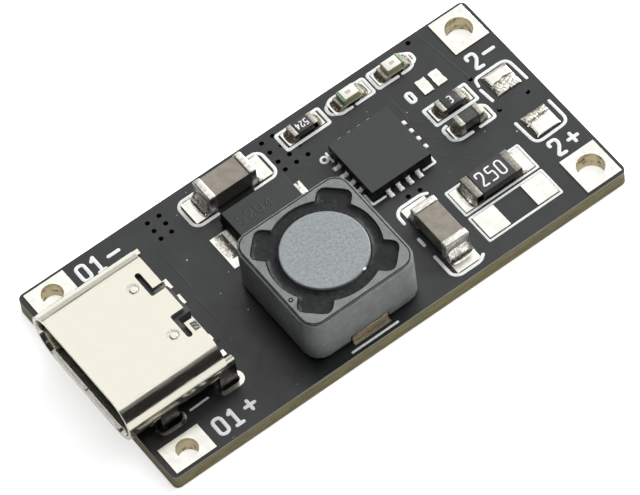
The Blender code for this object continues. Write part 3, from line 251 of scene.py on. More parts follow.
class Coat:
    """One procedural material. Patterns read Object coordinates, and their sizes are in millimetres."""

    def __init__(self, name, colour, roughness, metallic, sockets):
        self.material = bpy.data.materials.new(name)
        self.material.use_nodes = True
        self.tree = self.material.node_tree
        self.shader = self.tree.nodes["Principled BSDF"]
        self.colour = colour
        self.roughness = roughness
        values = {"Base Color": (*colour, 1.0), "Roughness": roughness, "Metallic": metallic, **sockets}
        for socket, value in values.items():
            self.shader.inputs[socket].default_value = value
        self.place = self.add("ShaderNodeTexCoord").outputs["Object"]

    def add(self, kind, inputs=(), **settings):
        """Adds a node with its settings, and with a value or a link for each of its inputs."""
        node = self.tree.nodes.new(kind)
        for key, value in settings.items():
            setattr(node, key, value)
        for socket, value in dict(inputs).items():
            if isinstance(value, bpy.types.NodeSocket):
                self.tree.links.new(value, node.inputs[socket])
            else:
                node.inputs[socket].default_value = value
        return node

    def link(self, socket, value):
        self.tree.links.new(value, self.shader.inputs[socket])

    def noise(self, size, detail=3.0, roughness=0.55):
        """Cloudy noise whose features are about size millimetres across."""
        inputs = {"Vector": self.place, "Scale": 1 / (size * MM), "Detail": detail, "Roughness": roughness}
        return self.add("ShaderNodeTexNoise", inputs).outputs["Fac"]

    def streaks(self, counts, detail, roughness=0.6):
        """Noise drawn out along an axis, with a count of features to the metre along X, Y and Z."""
        place = self.add("ShaderNodeMapping", {"Vector": self.place, "Scale": counts}).outputs["Vector"]
        inputs = {"Vector": place, "Scale": 1.0, "Detail": detail, "Roughness": roughness}
        return self.add("ShaderNodeTexNoise", inputs).outputs["Fac"]

    def grains(self, size):
        """Distance to the nearest grain, in a field of grains about size millimetres apart."""
        inputs = {"Vector": self.place, "Scale": 1 / (size * MM), "Randomness": 1.0}
        return self.add("ShaderNodeTexVoronoi", inputs).outputs["Distance"]

    def height(self):
        """How high a point lies over the board's underside, in metres."""
        return self.add("ShaderNodeSeparateXYZ", {"Vector": self.place}).outputs["Z"]

    def span(self, value, low, high, to_low=0.0, to_high=1.0):
        """Maps a value from one range to another, held at the ends."""
        inputs = {"Value": value, "From Min": low, "From Max": high, "To Min": to_low, "To Max": to_high}
        return self.add("ShaderNodeMapRange", inputs).outputs["Result"]

    def calc(self, operation, first, second):
        return self.add("ShaderNodeMath", {0: first, 1: second}, operation=operation).outputs["Value"]

    def tone(self, value):
        """A colour or a node's output as it is, or the coat's own colour made lighter or darker."""
        if isinstance(value, bpy.types.NodeSocket):
            return value
        if isinstance(value, tuple):
            return (*value, 1.0)
        return (*(min(1.0, channel * value) for channel in self.colour), 1.0)

    def blend(self, amount, first, second):
        """Mixes two colours, each a colour, a factor on the coat's own colour or a node's output."""
        inputs = {"Factor": amount, 6: self.tone(first), 7: self.tone(second)}
        return self.add("ShaderNodeMix", inputs, data_type="RGBA").outputs[2]

    def paint(self, amount, first, second):
        self.link("Base Color", self.blend(amount, first, second))

    def mottle(self, pattern, low, high, first, second):
        """Colours the surface from one colour to another between two levels of a pattern."""
        self.paint(self.span(pattern, low, high), first, second)

    def gloss(self, pattern, first, second, low=0.3, high=0.7):
        """Roughness from one value to another between two levels of a pattern."""
        self.link("Roughness", self.span(pattern, low, high, first, second))

    def relief(self, height, depth):
        """Bump whose full height is depth millimetres, over any bump that is there already."""
        node = self.add("ShaderNodeBump", {"Strength": 1.0, "Distance": depth * MM, "Height": height})
        for link in self.shader.inputs["Normal"].links:
            self.tree.links.new(link.from_socket, node.inputs["Normal"])
        self.link("Normal", node.outputs["Normal"])


FINISHES = {}
MATERIALS = {}
FLOOR_GLOW = 0.45
CAMERA_SHARE = 1.55


def finish(name, colour, roughness, metallic=0.0, shade=1.0, sockets=(), **pattern):
    """Lists a rule under the name of its material. The colour is its own or the name of one in the panel."""
    def listed(rule):
        FINISHES[name] = (rule, colour, shade, roughness, metallic, dict(sockets), pattern)
        return rule
    return listed


def material(name):
    """A finish, made when it is first asked for."""
    if name not in MATERIALS:
        rule, colour, shade, roughness, metallic, sockets, pattern = FINISHES[name]
        if isinstance(colour, str):
            colour = getattr(bpy.context.scene.charger_colours, colour)
        coat = Coat(name, tuple(channel * shade for channel in colour), roughness, metallic, sockets)
        rule(coat, **pattern)
        MATERIALS[name] = coat.material
    return MATERIALS[name]


@finish("solder_mask", "mask", 0.34, sockets={"IOR": 1.5})
def mask(coat):
    """Charcoal solder mask: nearly black, with a satin sheen, a faint orange peel and fine specks."""
    grey = coat.blend(coat.span(coat.noise(1.6, 4.0), 0.35, 0.68), 0.75, 1.45)
    coat.mottle(coat.grains(0.95), 0.060, 0.035, grey, (0.60, 0.62, 0.60))
    coat.gloss(coat.noise(0.7), 0.29, 0.40)
    coat.relief(coat.noise(0.16, 2.0), 0.0011)
    coat.relief(coat.noise(0.03, 1.0), 0.0006)


@finish("laminate_edge", "laminate", 0.62)
def laminate(coat):
    """Cut edge of the board: olive resin with pale glass layers, a pale upper lip and a lit lower lip."""
    layers = coat.streaks((900.0, 900.0, 9500.0), 3.0)
    fibres = coat.streaks((2600.0, 2600.0, 26000.0), 2.0, 0.5)
    resin = coat.blend(coat.span(layers, 0.36, 0.66), 0.72, 1.55)
    resin = coat.blend(coat.span(fibres, 0.55, 0.75, 0.0, 0.55), resin, (0.45, 0.42, 0.25))
    height = coat.height()
    lip = coat.blend(coat.span(height, TOP - 0.16 * MM, TOP - 0.09 * MM), resin, (0.33, 0.33, 0.27))
    coat.mottle(height, 0.16 * MM, 0.05 * MM, lip, (0.46, 0.43, 0.27))
    coat.relief(fibres, 0.012)
    coat.relief(coat.noise(0.10), 0.008)


@finish("levelled_tin", "tin", 0.24, 1.0)
def tin(coat):
    """Solder-levelled tin: bright, softly rippled, with duller patches."""
    coat.mottle(coat.noise(0.5), 0.35, 0.65, 0.94, 1.08)
    coat.gloss(coat.noise(0.25), 0.18, 0.26)
    coat.relief(coat.noise(0.60, 1.5), 0.005)
    coat.relief(coat.noise(0.06, 2.0), 0.0006)


@finish("reflowed_solder", "tin", 0.24, 1.0)
def solder(coat):
    """Reflowed solder: bright, with a little grey frosting and soft wrinkles."""
    frost = coat.noise(0.22, 3.0, 0.6)
    coat.mottle(frost, 0.38, 0.60, (0.56, 0.53, 0.44), 1.15)
    coat.gloss(frost, 0.34, 0.16, 0.35, 0.65)
    coat.relief(coat.noise(0.22, 2.0), 0.010)
    coat.relief(coat.noise(0.06, 2.0), 0.0015)


@finish("dragged_solder", (0.50, 0.48, 0.43), 0.34, 1.0)
def dragged_solder(coat):
    """Solder that an iron dragged: grey and wrinkled, with the ridges painted bright as painted highlights.
    """
    wrinkles_and_highlights = coat.noise(0.16, 4.0, 0.7)
    coat.mottle(wrinkles_and_highlights, 0.40, 0.60, 0.45, 1.7)
    coat.relief(wrinkles_and_highlights, 0.020)


@finish("fluxed_solder", (0.11, 0.095, 0.065), 0.45, 0.3)
def fluxed_solder(coat):
    """Solder under brown flux, with bright spots where the flux is thin that also stand as painted glints."""
    coat.mottle(coat.noise(0.10, 3.0, 0.7), 0.54, 0.62, 1.0, (0.72, 0.68, 0.56))
    coat.relief(coat.noise(0.12), 0.016)


@finish("dried_flux", (0.010, 0.009, 0.007), 0.22)
def flux(coat):
    """Dried flux round a joint: nearly black, glossy, amber where it is thin."""
    coat.mottle(coat.noise(0.30, 2.0), 0.60, 0.70, 1.0, (0.20, 0.11, 0.02))
    coat.relief(coat.noise(0.12, 2.0), 0.010)


@finish("plated_barrel", (0.60, 0.53, 0.36), 0.38, 0.8)
def barrel(coat):
    """Plated lining of a wire hole: pale gold, with brown flux in places."""
    coat.mottle(coat.noise(0.45), 0.52, 0.66, 1.1, (0.16, 0.10, 0.045))
    coat.relief(coat.noise(0.10, 2.0), 0.006)


@finish("nickel_sheet", "nickel", 0.12, 1.0)
def nickel(coat):
    """Bright nickel sheet with faint drawing lines, handling scuffs and soft waviness."""
    lines = coat.streaks((900.0, 14000.0, 14000.0), 3.0)
    haze = coat.span(coat.noise(0.9, 4.0, 0.6), 0.3, 0.75, 0.09, 0.15)
    coat.link("Roughness", coat.calc("ADD", haze, coat.span(lines, 0.45, 0.75, 0.0, 0.16)))
    coat.mottle(coat.noise(0.22, 5.0, 0.7), 0.60, 0.78, 1.0, 0.90)
    coat.relief(lines, 0.0005)
    coat.relief(coat.noise(1.8, 1.0), 0.0014)


@finish("sheared_sheet", (0.50, 0.49, 0.45), 0.36, 1.0)
def sheared(coat):
    """Sheared or punched sheet, greyer and rougher than its face; on the dimples' walls it is painted shade.
    """
    lines = coat.streaks((9000.0, 9000.0, 3000.0), 2.0)
    coat.mottle(lines, 0.3, 0.7, 0.7, 1.4)
    coat.relief(lines, 0.004)


@finish("satin_lip", (0.93, 0.92, 0.84), 0.38, 0.45)
def lip(coat):
    """Front edge of the inlet's sheet, a soft satin white painted as the reflection of the white floor; also
    the white of the chipped flake on the drum's rim.
    """
    coat.relief(coat.noise(0.10, 2.0), 0.002)


@finish("tarnished_nickel", (0.085, 0.080, 0.070), 0.28, 1.0)
def legs(coat):
    """Nickel of the legs, of the inlet's lower sides and of the contacts' feet under the shell's rear edge,
    painted dark as painted shade.
    """
    cloud = coat.noise(0.35)
    coat.mottle(cloud, 0.40, 0.62, 0.5, 1.5)
    coat.relief(cloud, 0.006)


@finish("black_moulding", (0.048, 0.048, 0.050), 0.45)
def insulator(coat):
    """Black moulded insulator with a fine spark-eroded grain."""
    coat.gloss(coat.noise(0.3), 0.38, 0.55)
    coat.relief(coat.noise(0.03, 2.0), 0.002)


@finish("gilt_metal", "gilt", 0.24, 1.0)
def gilt(coat):
    """Thin gilt over nickel, slightly uneven."""
    cloud = coat.noise(0.3)
    coat.mottle(cloud, 0.35, 0.65, 0.82, (0.86, 0.76, 0.54))
    coat.gloss(cloud, 0.17, 0.33)
    coat.relief(coat.noise(0.08, 2.0), 0.002)


@finish("tarnished_gilt", (0.30, 0.24, 0.155), 0.42, 1.0)
def tarnished(coat):
    """Cut and bent face of a gilded clip: brownish, with fine drawn ridges."""
    ridges = coat.streaks((700.0, 700.0, 12000.0), 2.0)
    coat.mottle(ridges, 0.35, 0.65, 0.45, 1.6)
    coat.relief(ridges, 0.012)


@finish("pressed_ferrite", "ferrite", 0.55)
def ferrite(coat):
    """Pressed ferrite: dry grey with dark pores, pale dust and slightly crumbled relief."""
    cloud = coat.noise(0.6, 4.0, 0.6)
    grey = coat.blend(coat.span(cloud, 0.32, 0.68), 0.80, 1.15)
    grey = coat.blend(coat.span(coat.grains(0.085), 0.10, 0.20), 0.62, grey)
    coat.mottle(coat.noise(0.08, 2.0), 0.64, 0.74, grey, 1.7)
    coat.gloss(cloud, 0.48, 0.62)
    coat.relief(coat.noise(0.05), 0.0045)
    coat.relief(coat.noise(0.5, 2.0), 0.006)


@finish("ground_ferrite", "drum", 0.58)
def drum(coat):
    """Ground drum face: paler, evenly peppered with dark and bright specks."""
    pepper = coat.noise(0.15, 4.0, 0.75)
    grey = coat.blend(coat.span(pepper, 0.36, 0.62), 0.78, 1.18)
    grey = coat.blend(coat.span(coat.noise(0.07, 1.0), 0.66, 0.74), grey, 1.6)
    grey = coat.blend(coat.span(coat.grains(0.16), 0.10, 0.20), 0.62, grey)
    coat.paint(coat.span(coat.noise(0.7, 2.0), 0.35, 0.62, 0.10, 0.0), grey, 0.6)
    coat.relief(pepper, 0.005)


@finish("poured_glue", "glue", 0.24, sockets={"Specular IOR Level": 0.22})
def glue(coat):
    """Poured glue: dark, half glossy, with soft ripples and a grey dusting."""
    cloud = coat.noise(0.30, 4.0, 0.6)
    dust = coat.blend(coat.span(cloud, 0.50, 0.78), 1.0, (0.030, 0.033, 0.033))
    coat.mottle(coat.grains(0.55), 0.060, 0.045, dust, (0.24, 0.26, 0.26))
    coat.gloss(cloud, 0.20, 0.40)
    coat.relief(coat.noise(0.22), 0.008)


@finish("chip_moulding", "chip", 0.50, grain=0.040)
@finish("diode_moulding", "chip", 0.46, shade=0.8, grain=0.050)
def compound(coat, grain):
    """Moulding compound with filler specks in an eroded surface."""
    specks = coat.noise(grain, 3.0, 0.7)
    coat.mottle(specks, 0.35, 0.68, 0.75, 1.35)
    coat.gloss(specks, coat.roughness + 0.06, coat.roughness - 0.06)
    coat.relief(specks, 0.0028)


@finish("moulded_side", (0.006, 0.0065, 0.0065), 0.55, sockets={"Specular IOR Level": 0.15})
def compound_side_shade(coat):
    """Sides of the moulded packages: smoother than their tops, and painted nearly black as painted shade."""
    coat.relief(coat.noise(0.06, 2.0), 0.002)


@finish("grey_brown_ceramic", "ceramic", 0.40)
@finish("shaded_ceramic", "ceramic", 0.40, shade=0.42)
@finish("dark_ceramic", (0.060, 0.060, 0.055), 0.40)
def ceramic(coat):
    """Fired ceramic: smooth, with a faint mottling and a few pits."""
    brown = coat.blend(coat.span(coat.noise(0.5), 0.35, 0.65), 0.88, 1.12)
    coat.mottle(coat.grains(0.30), 0.05, 0.10, 0.65, brown)
    coat.relief(coat.noise(0.06), 0.0022)


@finish("frosted_tin", (0.66, 0.65, 0.60), 0.36, 1.0, grain=0.16, depth=0.012)
@finish("dull_tin", (0.43, 0.415, 0.365), 0.50, 1.0, grain=0.10, depth=0.004)
@finish("brown_tin", (0.27, 0.255, 0.22), 0.46, 1.0, grain=0.10, depth=0.004)
def plated_ends(coat, grain, depth):
    """Plated ends of the chip parts: frosted, with a crystalline grain."""
    crystals = coat.noise(grain, 3.0, 0.65)
    coat.mottle(crystals, 0.36, 0.64, 0.70, 1.20)
    coat.gloss(crystals, coat.roughness + 0.10, coat.roughness - 0.10)
    coat.relief(crystals, depth)


@finish("dark_overcoat", (0.014, 0.014, 0.016), 0.30, sockets={"Coat Weight": 0.3})
def overcoat(coat):
    """Glossy dark glass over the resistors' film."""
    coat.mottle(coat.noise(0.2), 0.35, 0.7, 0.8, 1.8)
    coat.relief(coat.noise(0.12, 2.0), 0.003)


@finish("sawn_side", (0.050, 0.048, 0.045), 0.55)
def sawn_side(coat):
    """Sawn side of a resistor's chip, greyed by overcoat and flux."""
    coat.mottle(coat.noise(0.10), 0.0, 1.0, 0.8, 1.15)
    coat.relief(coat.noise(0.04, 2.0), 0.002)


@finish("white_print", "ink", 0.55)
def ink(coat):
    """White print: slightly uneven in cover, matt, with a grainy relief."""
    coat.mottle(coat.noise(0.10, 4.0, 0.6), 0.28, 0.48, 0.80, 1.0)
    coat.relief(coat.noise(0.05, 2.0), 0.004)


@finish("cast_resin", "resin", 0.16, sockets={"Alpha": 0.97, "IOR": 1.52})
def resin(coat):
    """Clear cast resin of the lights, a little milky and yellow."""
    coat.gloss(coat.noise(0.2, 2.0), 0.10, 0.24)
    coat.relief(coat.noise(0.25, 1.0), 0.004)


@finish("bent_flap", (0.33, 0.33, 0.29), 0.35, 0.5)
def flap(coat):
    """Painted shade where the flap is bent down in the inlet's slot: a plain patch, duller than the sheet."""


# The near-white bead finish is a painted reflection of the lamps in the chip's solder beads and lead ends.
@finish("frosted_bead", (1.0, 1.0, 0.96), 0.30, 0.08, grain=0.08, detail=2.0, dark=0.80, light=1.04)
@finish("light_base", (0.86, 0.85, 0.66), 0.45, grain=0.08, dark=0.8, light=1.2)
@finish("lens_side", (0.62, 0.56, 0.32), 0.25, grain=0.10, detail=2.0, dark=0.7, light=1.3)
@finish("green_mark", (0.33, 0.50, 0.29), 0.25, grain=0.06, detail=2.0, dark=0.6, light=1.4)
@finish("light_die", (0.60, 0.54, 0.58), 0.2, grain=0.05, detail=1.0, dark=0.7, light=1.3)
@finish("enamelled_wire", (0.55, 0.20, 0.07), 0.28, 0.85, grain=0.2, detail=2.0, dark=0.8, light=1.2)
@finish("base_plate", (0.14, 0.10, 0.055), 0.6, grain=0.3, dark=0.7, light=1.3)
def small_surface(coat, grain, dark, light, detail=3.0):
    """Small surfaces of one colour that wanders a little in tone."""
    coat.mottle(coat.noise(grain, detail), 0.0, 1.0, dark, light)


@finish("paper_floor", "floor", 0.8, sockets={"Specular IOR Level": 0.0, "Emission Color": (1, 1, 1, 1)})
def paper(coat):
    """Pale paper floor that shows white to the camera and in metal, and keeps the object's shadow."""
    rays = coat.add("ShaderNodeLightPath").outputs
    seen = coat.calc("MULTIPLY", rays["Is Camera Ray"], CAMERA_SHARE)
    for ray in ("Is Glossy Ray", "Is Transmission Ray"):
        seen = coat.calc("ADD", seen, rays[ray])
    coat.link("Emission Strength", coat.calc("MULTIPLY", seen, FLOOR_GLOW))


# Board, with its places in millimetres

WORN_AREA = ((-9.4, -3.2), (-7.8, -1.0))
# Dark sheets inside the board, in millimetres: painted shade that keeps the via holes dark.
VIA_SHADE_SHEETS = (
    ((-7.6, -2.0, 0.50), (12.5, 7.05, 0.70)),
    ((12.5, -0.6, 0.50), (14.4, 1.0, 0.70)),
)


def board_face(face):
    """Mask, cut edge, or tin on the raised lands and in the leg slots."""
    x, y = face.center.x / MM, face.center.y / MM
    if face.center.z > TOP + 0.015 * MM:
        (left, near), (right, far) = WORN_AREA
        return 0 if left < x < right and near < y < far else 2
    if abs(face.normal.z) > 0.5:
        return 0
    outer = max(abs(face.center.x) - BOARD_HIGH.x, abs(face.center.y) - BOARD_HIGH.y)
    if outer > -0.2 * MM:
        return 1
    return 2 if x < -8.0 and abs(y) > 4.0 else 0


class CHARGER_OT_board(bpy.types.Operator):
    """Dress the board, with dark sheets of mask finish inside it that stop light in the via holes, as painted
    shade.
    """

    bl_idname = "charger.board"
    bl_label = "Board"

    def execute(self, context):
        board = copy_of("board", "charger_board")
        wear(board, ["solder_mask", "laminate_edge", "levelled_tin"], ["board"], board_face)
        shade_sheets = [block("inner_plane", Vector(low) * MM, Vector(high) * MM) for low, high in VIA_SHADE_SHEETS]
        wear(joined("inner_plane", shade_sheets), "solder_mask")
        return {"FINISHED"}


# Wire pads and bare lands

WIRE_PADS = ("pad_in_plus", "pad_in_minus", "pad_battery_plus", "pad_battery_minus")
BARE_LANDS = ("spare_land_left", "spare_land_right", "jumper_land_left", "jumper_land_right")


def barrel_face(face):
    """The lining of a wire hole is duller than the land round it."""
    inside = LAND_TOP - 0.06 * MM > face.center.z > 0.08 * MM
    return 1 if inside and abs(face.normal.z) < 0.3 else 0


class CHARGER_OT_wire_pads(bpy.types.Operator):
    """Dress the four plated wire pads and the bare lands."""

    bl_idname = "charger.wire_pads"
    bl_label = "Wire pads and bare lands"

    def execute(self, context):
        for node in WIRE_PADS + BARE_LANDS:
            pad = copy_of(node, node + "_plated")
            if node.startswith("jumper"):
                with editing(pad):
                    bpy.ops.mesh.subdivide(number_cuts=9)
                wavy(pad, 0.30 * MM, 0.09 * MM, "jumper_lumps")
            soften(pad, 0.014 * MM, 2, 50)
            wear(pad, ["levelled_tin", "plated_barrel"], [node], barrel_face)
        return {"FINISHED"}


# Printed lines and signs

def bend(points, radius, closed=False, steps=5):
    """A path in the board's plane whose corners give way to short curves."""
    count = len(points)
    path = []
    for i, point in enumerate(points):
        corner = Vector(point)
        if not closed and i in (0, count - 1):
            path.append(corner)
            continue
        before = Vector(points[i - 1]) - corner
        after = Vector(points[(i + 1) % count]) - corner
        cut = min(radius, before.length * 0.49, after.length * 0.49)
        start = corner + before.normalized() * cut
        end = corner + after.normalized() * cut
        for k in range(steps + 1):
            t = k / steps
            path.append(start * (1 - t) ** 2 + corner * 2 * t * (1 - t) + end * t * t)
    return path


def circle(count):
    """Angles of evenly spaced points round a circle."""
    return [TAU * i / count for i in range(count)]


def rounded_outline(centre, half_x, half_y, radius):
    """A closed rounded rectangle round a centre, in millimetres."""
    path = []
    for across, along, start in ((1, 1, 0), (-1, 1, 1), (-1, -1, 2), (1, -1, 3)):
        corner = centre.xy + Vector((across * (half_x - radius), along * (half_y - radius)))
        for step in range(9):
            angle = TAU / 4 * (start + step / 8)
            path.append(corner + Vector((math.cos(angle), math.sin(angle))) * radius)
    return path


# A stroke's round end: how far along the path its points lie, in radii, and how full the stroke is there
ROUND_END = ((-0.6, 0.12), (-0.48, 0.47), (-0.25, 0.76), (0.1, 0.95), (0.5, 1.0))


def round_ended(path, width):
    """Adds points near both ends of an open path, and says how full the stroke is at each point."""
    ends = []
    for end, after in ((path[0], path[1]), (path[-1], path[-2])):
        radius = (after - end).normalized() * width / 2
        ends.append([(end + radius * reach, fullness) for reach, fullness in ROUND_END])
    return ends[0] + [(point, 1.0) for point in path[1:-1]] + ends[1][::-1]


def drawn(name, strokes, width, height, level=TOP):
    """Raised lines on a flat face. Each stroke is a path in millimetres and whether it is closed."""
    curve = bpy.data.curves.new(name, "CURVE")
    curve.dimensions = "3D"
    curve.twist_mode = "Z_UP"
    curve.bevel_depth = width / 2
    curve.bevel_resolution = 2
    curve.use_fill_caps = True
    for points, closed in strokes:
        path = [Vector(point).to_2d() * MM for point in points]
        shaped = [(point, 1.0) for point in path] if closed else round_ended(path, width)
        spline = curve.splines.new("POLY")
        spline.points.add(len(shaped) - 1)
        for point, (place, fullness) in zip(spline.points, shaped):
            point.co = (place.x, place.y, 0.0, 1.0)
            point.radius = fullness
        spline.use_cyclic_u = closed
    piece = bpy.data.objects.new(name, curve)
    bpy.context.collection.objects.link(piece)
    only(piece)
    bpy.ops.object.convert(target="MESH")
    piece = bpy.context.active_object
    piece.scale = (1.0, 1.0, 2 * height / width)
    piece.location = (0.0, 0.0, level)
    settle(piece)
    smooth(piece, 60)
    return piece


GLYPHS = {
    "0": [([(0.04, 0), (0.54, 0), (0.54, 1), (0.04, 1)], 0.24, True)],
    "1": [([(0.08, 0.78), (0.30, 1), (0.30, 0)], 0.02, False), ([(0.06, 0), (0.54, 0)], 0, False)],
    "2": [([(0.04, 0.72), (0.04, 1), (0.54, 1), (0.54, 0.60), (0.04, 0), (0.56, 0)], 0.20, False)],
    "3": [([(0.04, 1), (0.54, 1), (0.54, 0.52), (0.22, 0.52)], 0.2, False),
          ([(0.22, 0.52), (0.54, 0.52), (0.54, 0), (0.04, 0)], 0.2, False)],
    "4": [([(0.44, 0), (0.44, 1), (0.02, 0.30), (0.60, 0.30)], 0.02, False)],
    "5": [([(0.52, 1), (0.08, 1), (0.06, 0.58), (0.54, 0.62), (0.54, 0), (0.04, 0)], 0.14, False)],
    "+": [([(0.0, 0.5), (0.66, 0.5)], 0, False), ([(0.33, 0.17), (0.33, 0.83)], 0, False)],
    "-": [([(0.0, 0.5), (0.72, 0.5)], 0, False)],
}
GLYPH_ADVANCE = 0.86


def sign(text, corner, height, turn=0.0, stretch=1.0):
    """Strokes of a short sign, from its lower left corner, in millimetres."""
    rotation = Matrix.Rotation(math.radians(turn), 2)
    strokes = []
    for place, letter in enumerate(text):
        for points, radius, closed in GLYPHS[letter]:
            across = place * GLYPH_ADVANCE
            path = bend(points, radius, closed) if radius else [Vector(point) for point in points]
            moved = [rotation @ Vector(((p.x + across) * height * stretch, p.y * height)) for p in path]
            strokes.append(([Vector(corner) + point for point in moved], closed))
    return strokes


def frame_line(low, high, radius=0.10):
    """A closed printed rectangle."""
    return bend([low, (high[0], low[1]), high, (low[0], high[1])], radius, True), True


def open_line(points, radius=0.10):
    return bend(points, radius), False


def bracket(open_end, shoulder, back):
    """One of the two brackets round the input capacitor, from the x of its ends, shoulders and back."""
    near = [(open_end, 4.60), (shoulder, 4.60), (back, 4.88)]
    return open_line(near + [(back, 6.24), (shoulder, 6.52), (open_end, 6.52)], 0.25)


def bold_print():
    """The wide lines: outlines of the small parts, the capacitors and the tinned lands."""
    left_light = [(6.15, 5.50), (5.45, 5.50), (4.92, 5.85), (4.92, 6.32), (5.45, 6.67), (7.66, 6.67),
                  (7.66, 5.50), (6.40, 5.50)]
    right_light = [(9.28, 5.50), (7.95, 5.50), (7.95, 6.67), (10.10, 6.67), (10.66, 6.32), (10.66, 5.85),
                   (10.10, 5.50), (9.52, 5.50)]
    resistor_x = part_centre("light_resistor").x / MM
    return [
        open_line(left_light, 0.16), open_line(right_light, 0.16),
        frame_line((resistor_x - 1.42, 5.47), (resistor_x + 1.42, 6.66)),
        frame_line((8.92, 1.57), (11.70, 2.80), 0.06),
        open_line([(10.2, 0.02), (9.38, 0.02), (8.96, 0.30), (8.96, 1.16), (9.3, 1.24)], 0.18),
        open_line([(11.2, 1.22), (11.45, 1.20), (11.74, 0.95), (11.74, 0.02), (10.66, 0.02)], 0.18),
        open_line([(14.55, 0.90), (14.47, 2.66), (12.30, 2.66), (12.20, 2.13)], 0.50),
        open_line([(12.14, 1.92), (12.22, 0.90)]),
        open_line([(14.56, -0.99), (14.59, -2.72), (12.34, -2.80), (12.26, -1.01)], 0.50),
        open_line([(3.76, -3.55), (3.76, -4.12)]),
        open_line([(3.76, -4.98), (3.76, -6.50), (4.1, -6.78), (5.5, -6.78), (5.86, -6.5)], 0.3),
        open_line([(5.90, -1.55), (5.55, -1.38), (4.1, -1.38), (3.78, -1.68), (3.76, -2.35)], 0.3),
        bracket(-3.5, -4.72, -5.02), bracket(-1.1, 0.22, 0.52),
    ]


def fine_print():
    """The thin lines: the chip's corners, the sense places and small marks."""
    ring = [(2.91 + 0.20 * math.cos(a), 3.72 + 0.20 * math.sin(a)) for a in circle(16)]
    return [
        open_line([(3.22, 3.30), (3.22, 4.02)]),
        open_line([(3.22, 0.53), (3.22, -0.27), (4.07, -0.27)], 0.04),
        open_line([(6.62, -0.24), (7.42, -0.24), (7.42, 0.36)], 0.04),
        open_line([(7.42, 3.40), (7.42, 4.00), (6.90, 4.00)], 0.04),
        ([Vector(point) for point in ring], True),
        frame_line((6.62, -4.02), (11.48, -2.20), 0.04),
        frame_line((6.62, -6.10), (11.48, -4.28), 0.04),
        open_line([(-3.21, -6.98), (-0.18, -6.98)]),
        open_line([(-11.90, -4.36), (-10.70, -4.33)]),
        open_line([(-14.08, -3.80), (-13.69, -3.76)]),
    ]


def printed_signs():
    """Plain terminal numbers with their polarity."""
    height = bpy.context.scene.charger_sizes.sign_height / MM
    return (
        sign("01", (-11.62, 5.68), height) + sign("-", (-9.74, 5.68), height)
        + sign("01", (-11.52, -6.68), height) + sign("+", (-9.62, -6.60), height)
        + sign("2", (12.72, 3.10), height) + sign("-", (13.68, 3.18), height)
        + sign("2", (12.72, -4.20), height) + sign("+", (13.74, -4.22), height)
        + sign("0", (8.74, 3.62), height * 0.62)
    )


class CHARGER_OT_print(bpy.types.Operator):
    """Print the white outlines, the chip's marks and the plain terminal numbers."""

    bl_idname = "charger.print"
    bl_label = "White print"

    def execute(self, context):
        sizes = context.scene.charger_sizes
        pieces = [
            drawn("part_outlines", bold_print(), sizes.ink_width, sizes.ink_height),
            drawn("fine_outlines", fine_print(), sizes.fine_ink_width, sizes.ink_height),
            drawn("terminal_numbers", printed_signs(), sizes.ink_width * 1.1, sizes.ink_height),
        ]
        for piece in pieces:
            wear(piece, "white_print")
        return {"FINISHED"}


# Copper tracks that show under the mask, in millimetres

TRACK_WIDTH = 0.16
TRACK_BEND = 0.15
TRACKS = (
    [(-7.41, 4.63), (-7.40, 1.80), (-8.04, 2.01)],
    [(-7.59, 0.99), (-7.50, -1.20), (-8.06, -1.06)],
    [(1.58, 4.15), (2.19, 3.89)],
    [(-7.77, -3.14), (-7.13, -4.07), (-8.17, -5.21)],
    [(-6.25, -5.99), (-7.07, -6.74)],
    [(7.85, 2.81), (8.65, 2.08), (9.30, 2.08)],
    [(7.75, 1.56), (8.66, 0.80), (9.20, 0.60)],
    [(7.85, -0.08), (9.35, -1.67), (10.24, -1.57)],
    [(11.68, 7.02), (12.03, 3.97), (12.14, 2.9)],
    [(12.14, 0.30), (14.03, 0.30)],
    [(4.6, 4.4), (5.6, 5.35), (8.7, 5.35)],
    [(2.9, 4.9), (2.9, 5.2), (1.9, 5.2)],
    [(8.0, 4.6), (8.0, 3.3), (7.9, 2.9)],
)


class CHARGER_OT_tracks(bpy.types.Operator):
    """Raise the mask a little over the copper tracks that run under it."""

    bl_idname = "charger.tracks"
    bl_label = "Tracks"

    def execute(self, context):
        height = context.scene.charger_sizes.track_height
        strokes = [open_line(points, TRACK_BEND) for points in TRACKS]
        tracks = drawn("copper_tracks", strokes, TRACK_WIDTH * MM, height)
        wear(tracks, "solder_mask")
        return {"FINISHED"}


# Solder

def part_centre(part):
    """Middle of a two-ended part, halfway between its end pieces."""
    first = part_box(part + "_end_a")
    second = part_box(part + "_end_b")
    return (first[0] + first[1] + second[0] + second[1]) / 4


def unit_lump(name):
    """A finely divided block, one unit long, wide and high, as a start for solder."""
    lump = block(name, (0.0, -0.5, 0.0), (1.0, 0.5, 1.0))
    with editing(lump):
        bpy.ops.mesh.subdivide(number_cuts=11)
    return lump


def solder_slope():
    """One solder slope: from x = 0, where it climbs the part, to x = 1, where it runs out on its land."""
    slope = unit_lump("solder_slope")
    sag = bpy.context.scene.charger_sizes.solder_sag
    for vertex in slope.data.vertices:
        x, y, z = vertex.co
        shoulder = (1 - abs(2 * y) ** 5) ** 0.5 if abs(y) < 0.5 else 0.0
        height = 0.06 + 0.94 * (1 - x) ** sag
        run_out = 1 - 0.35 * abs(2 * y) ** 3 * x
        vertex.co = (x * run_out, y, z * height * (0.25 + 0.75 * shoulder))
    smooth(slope, 50)
    return slope


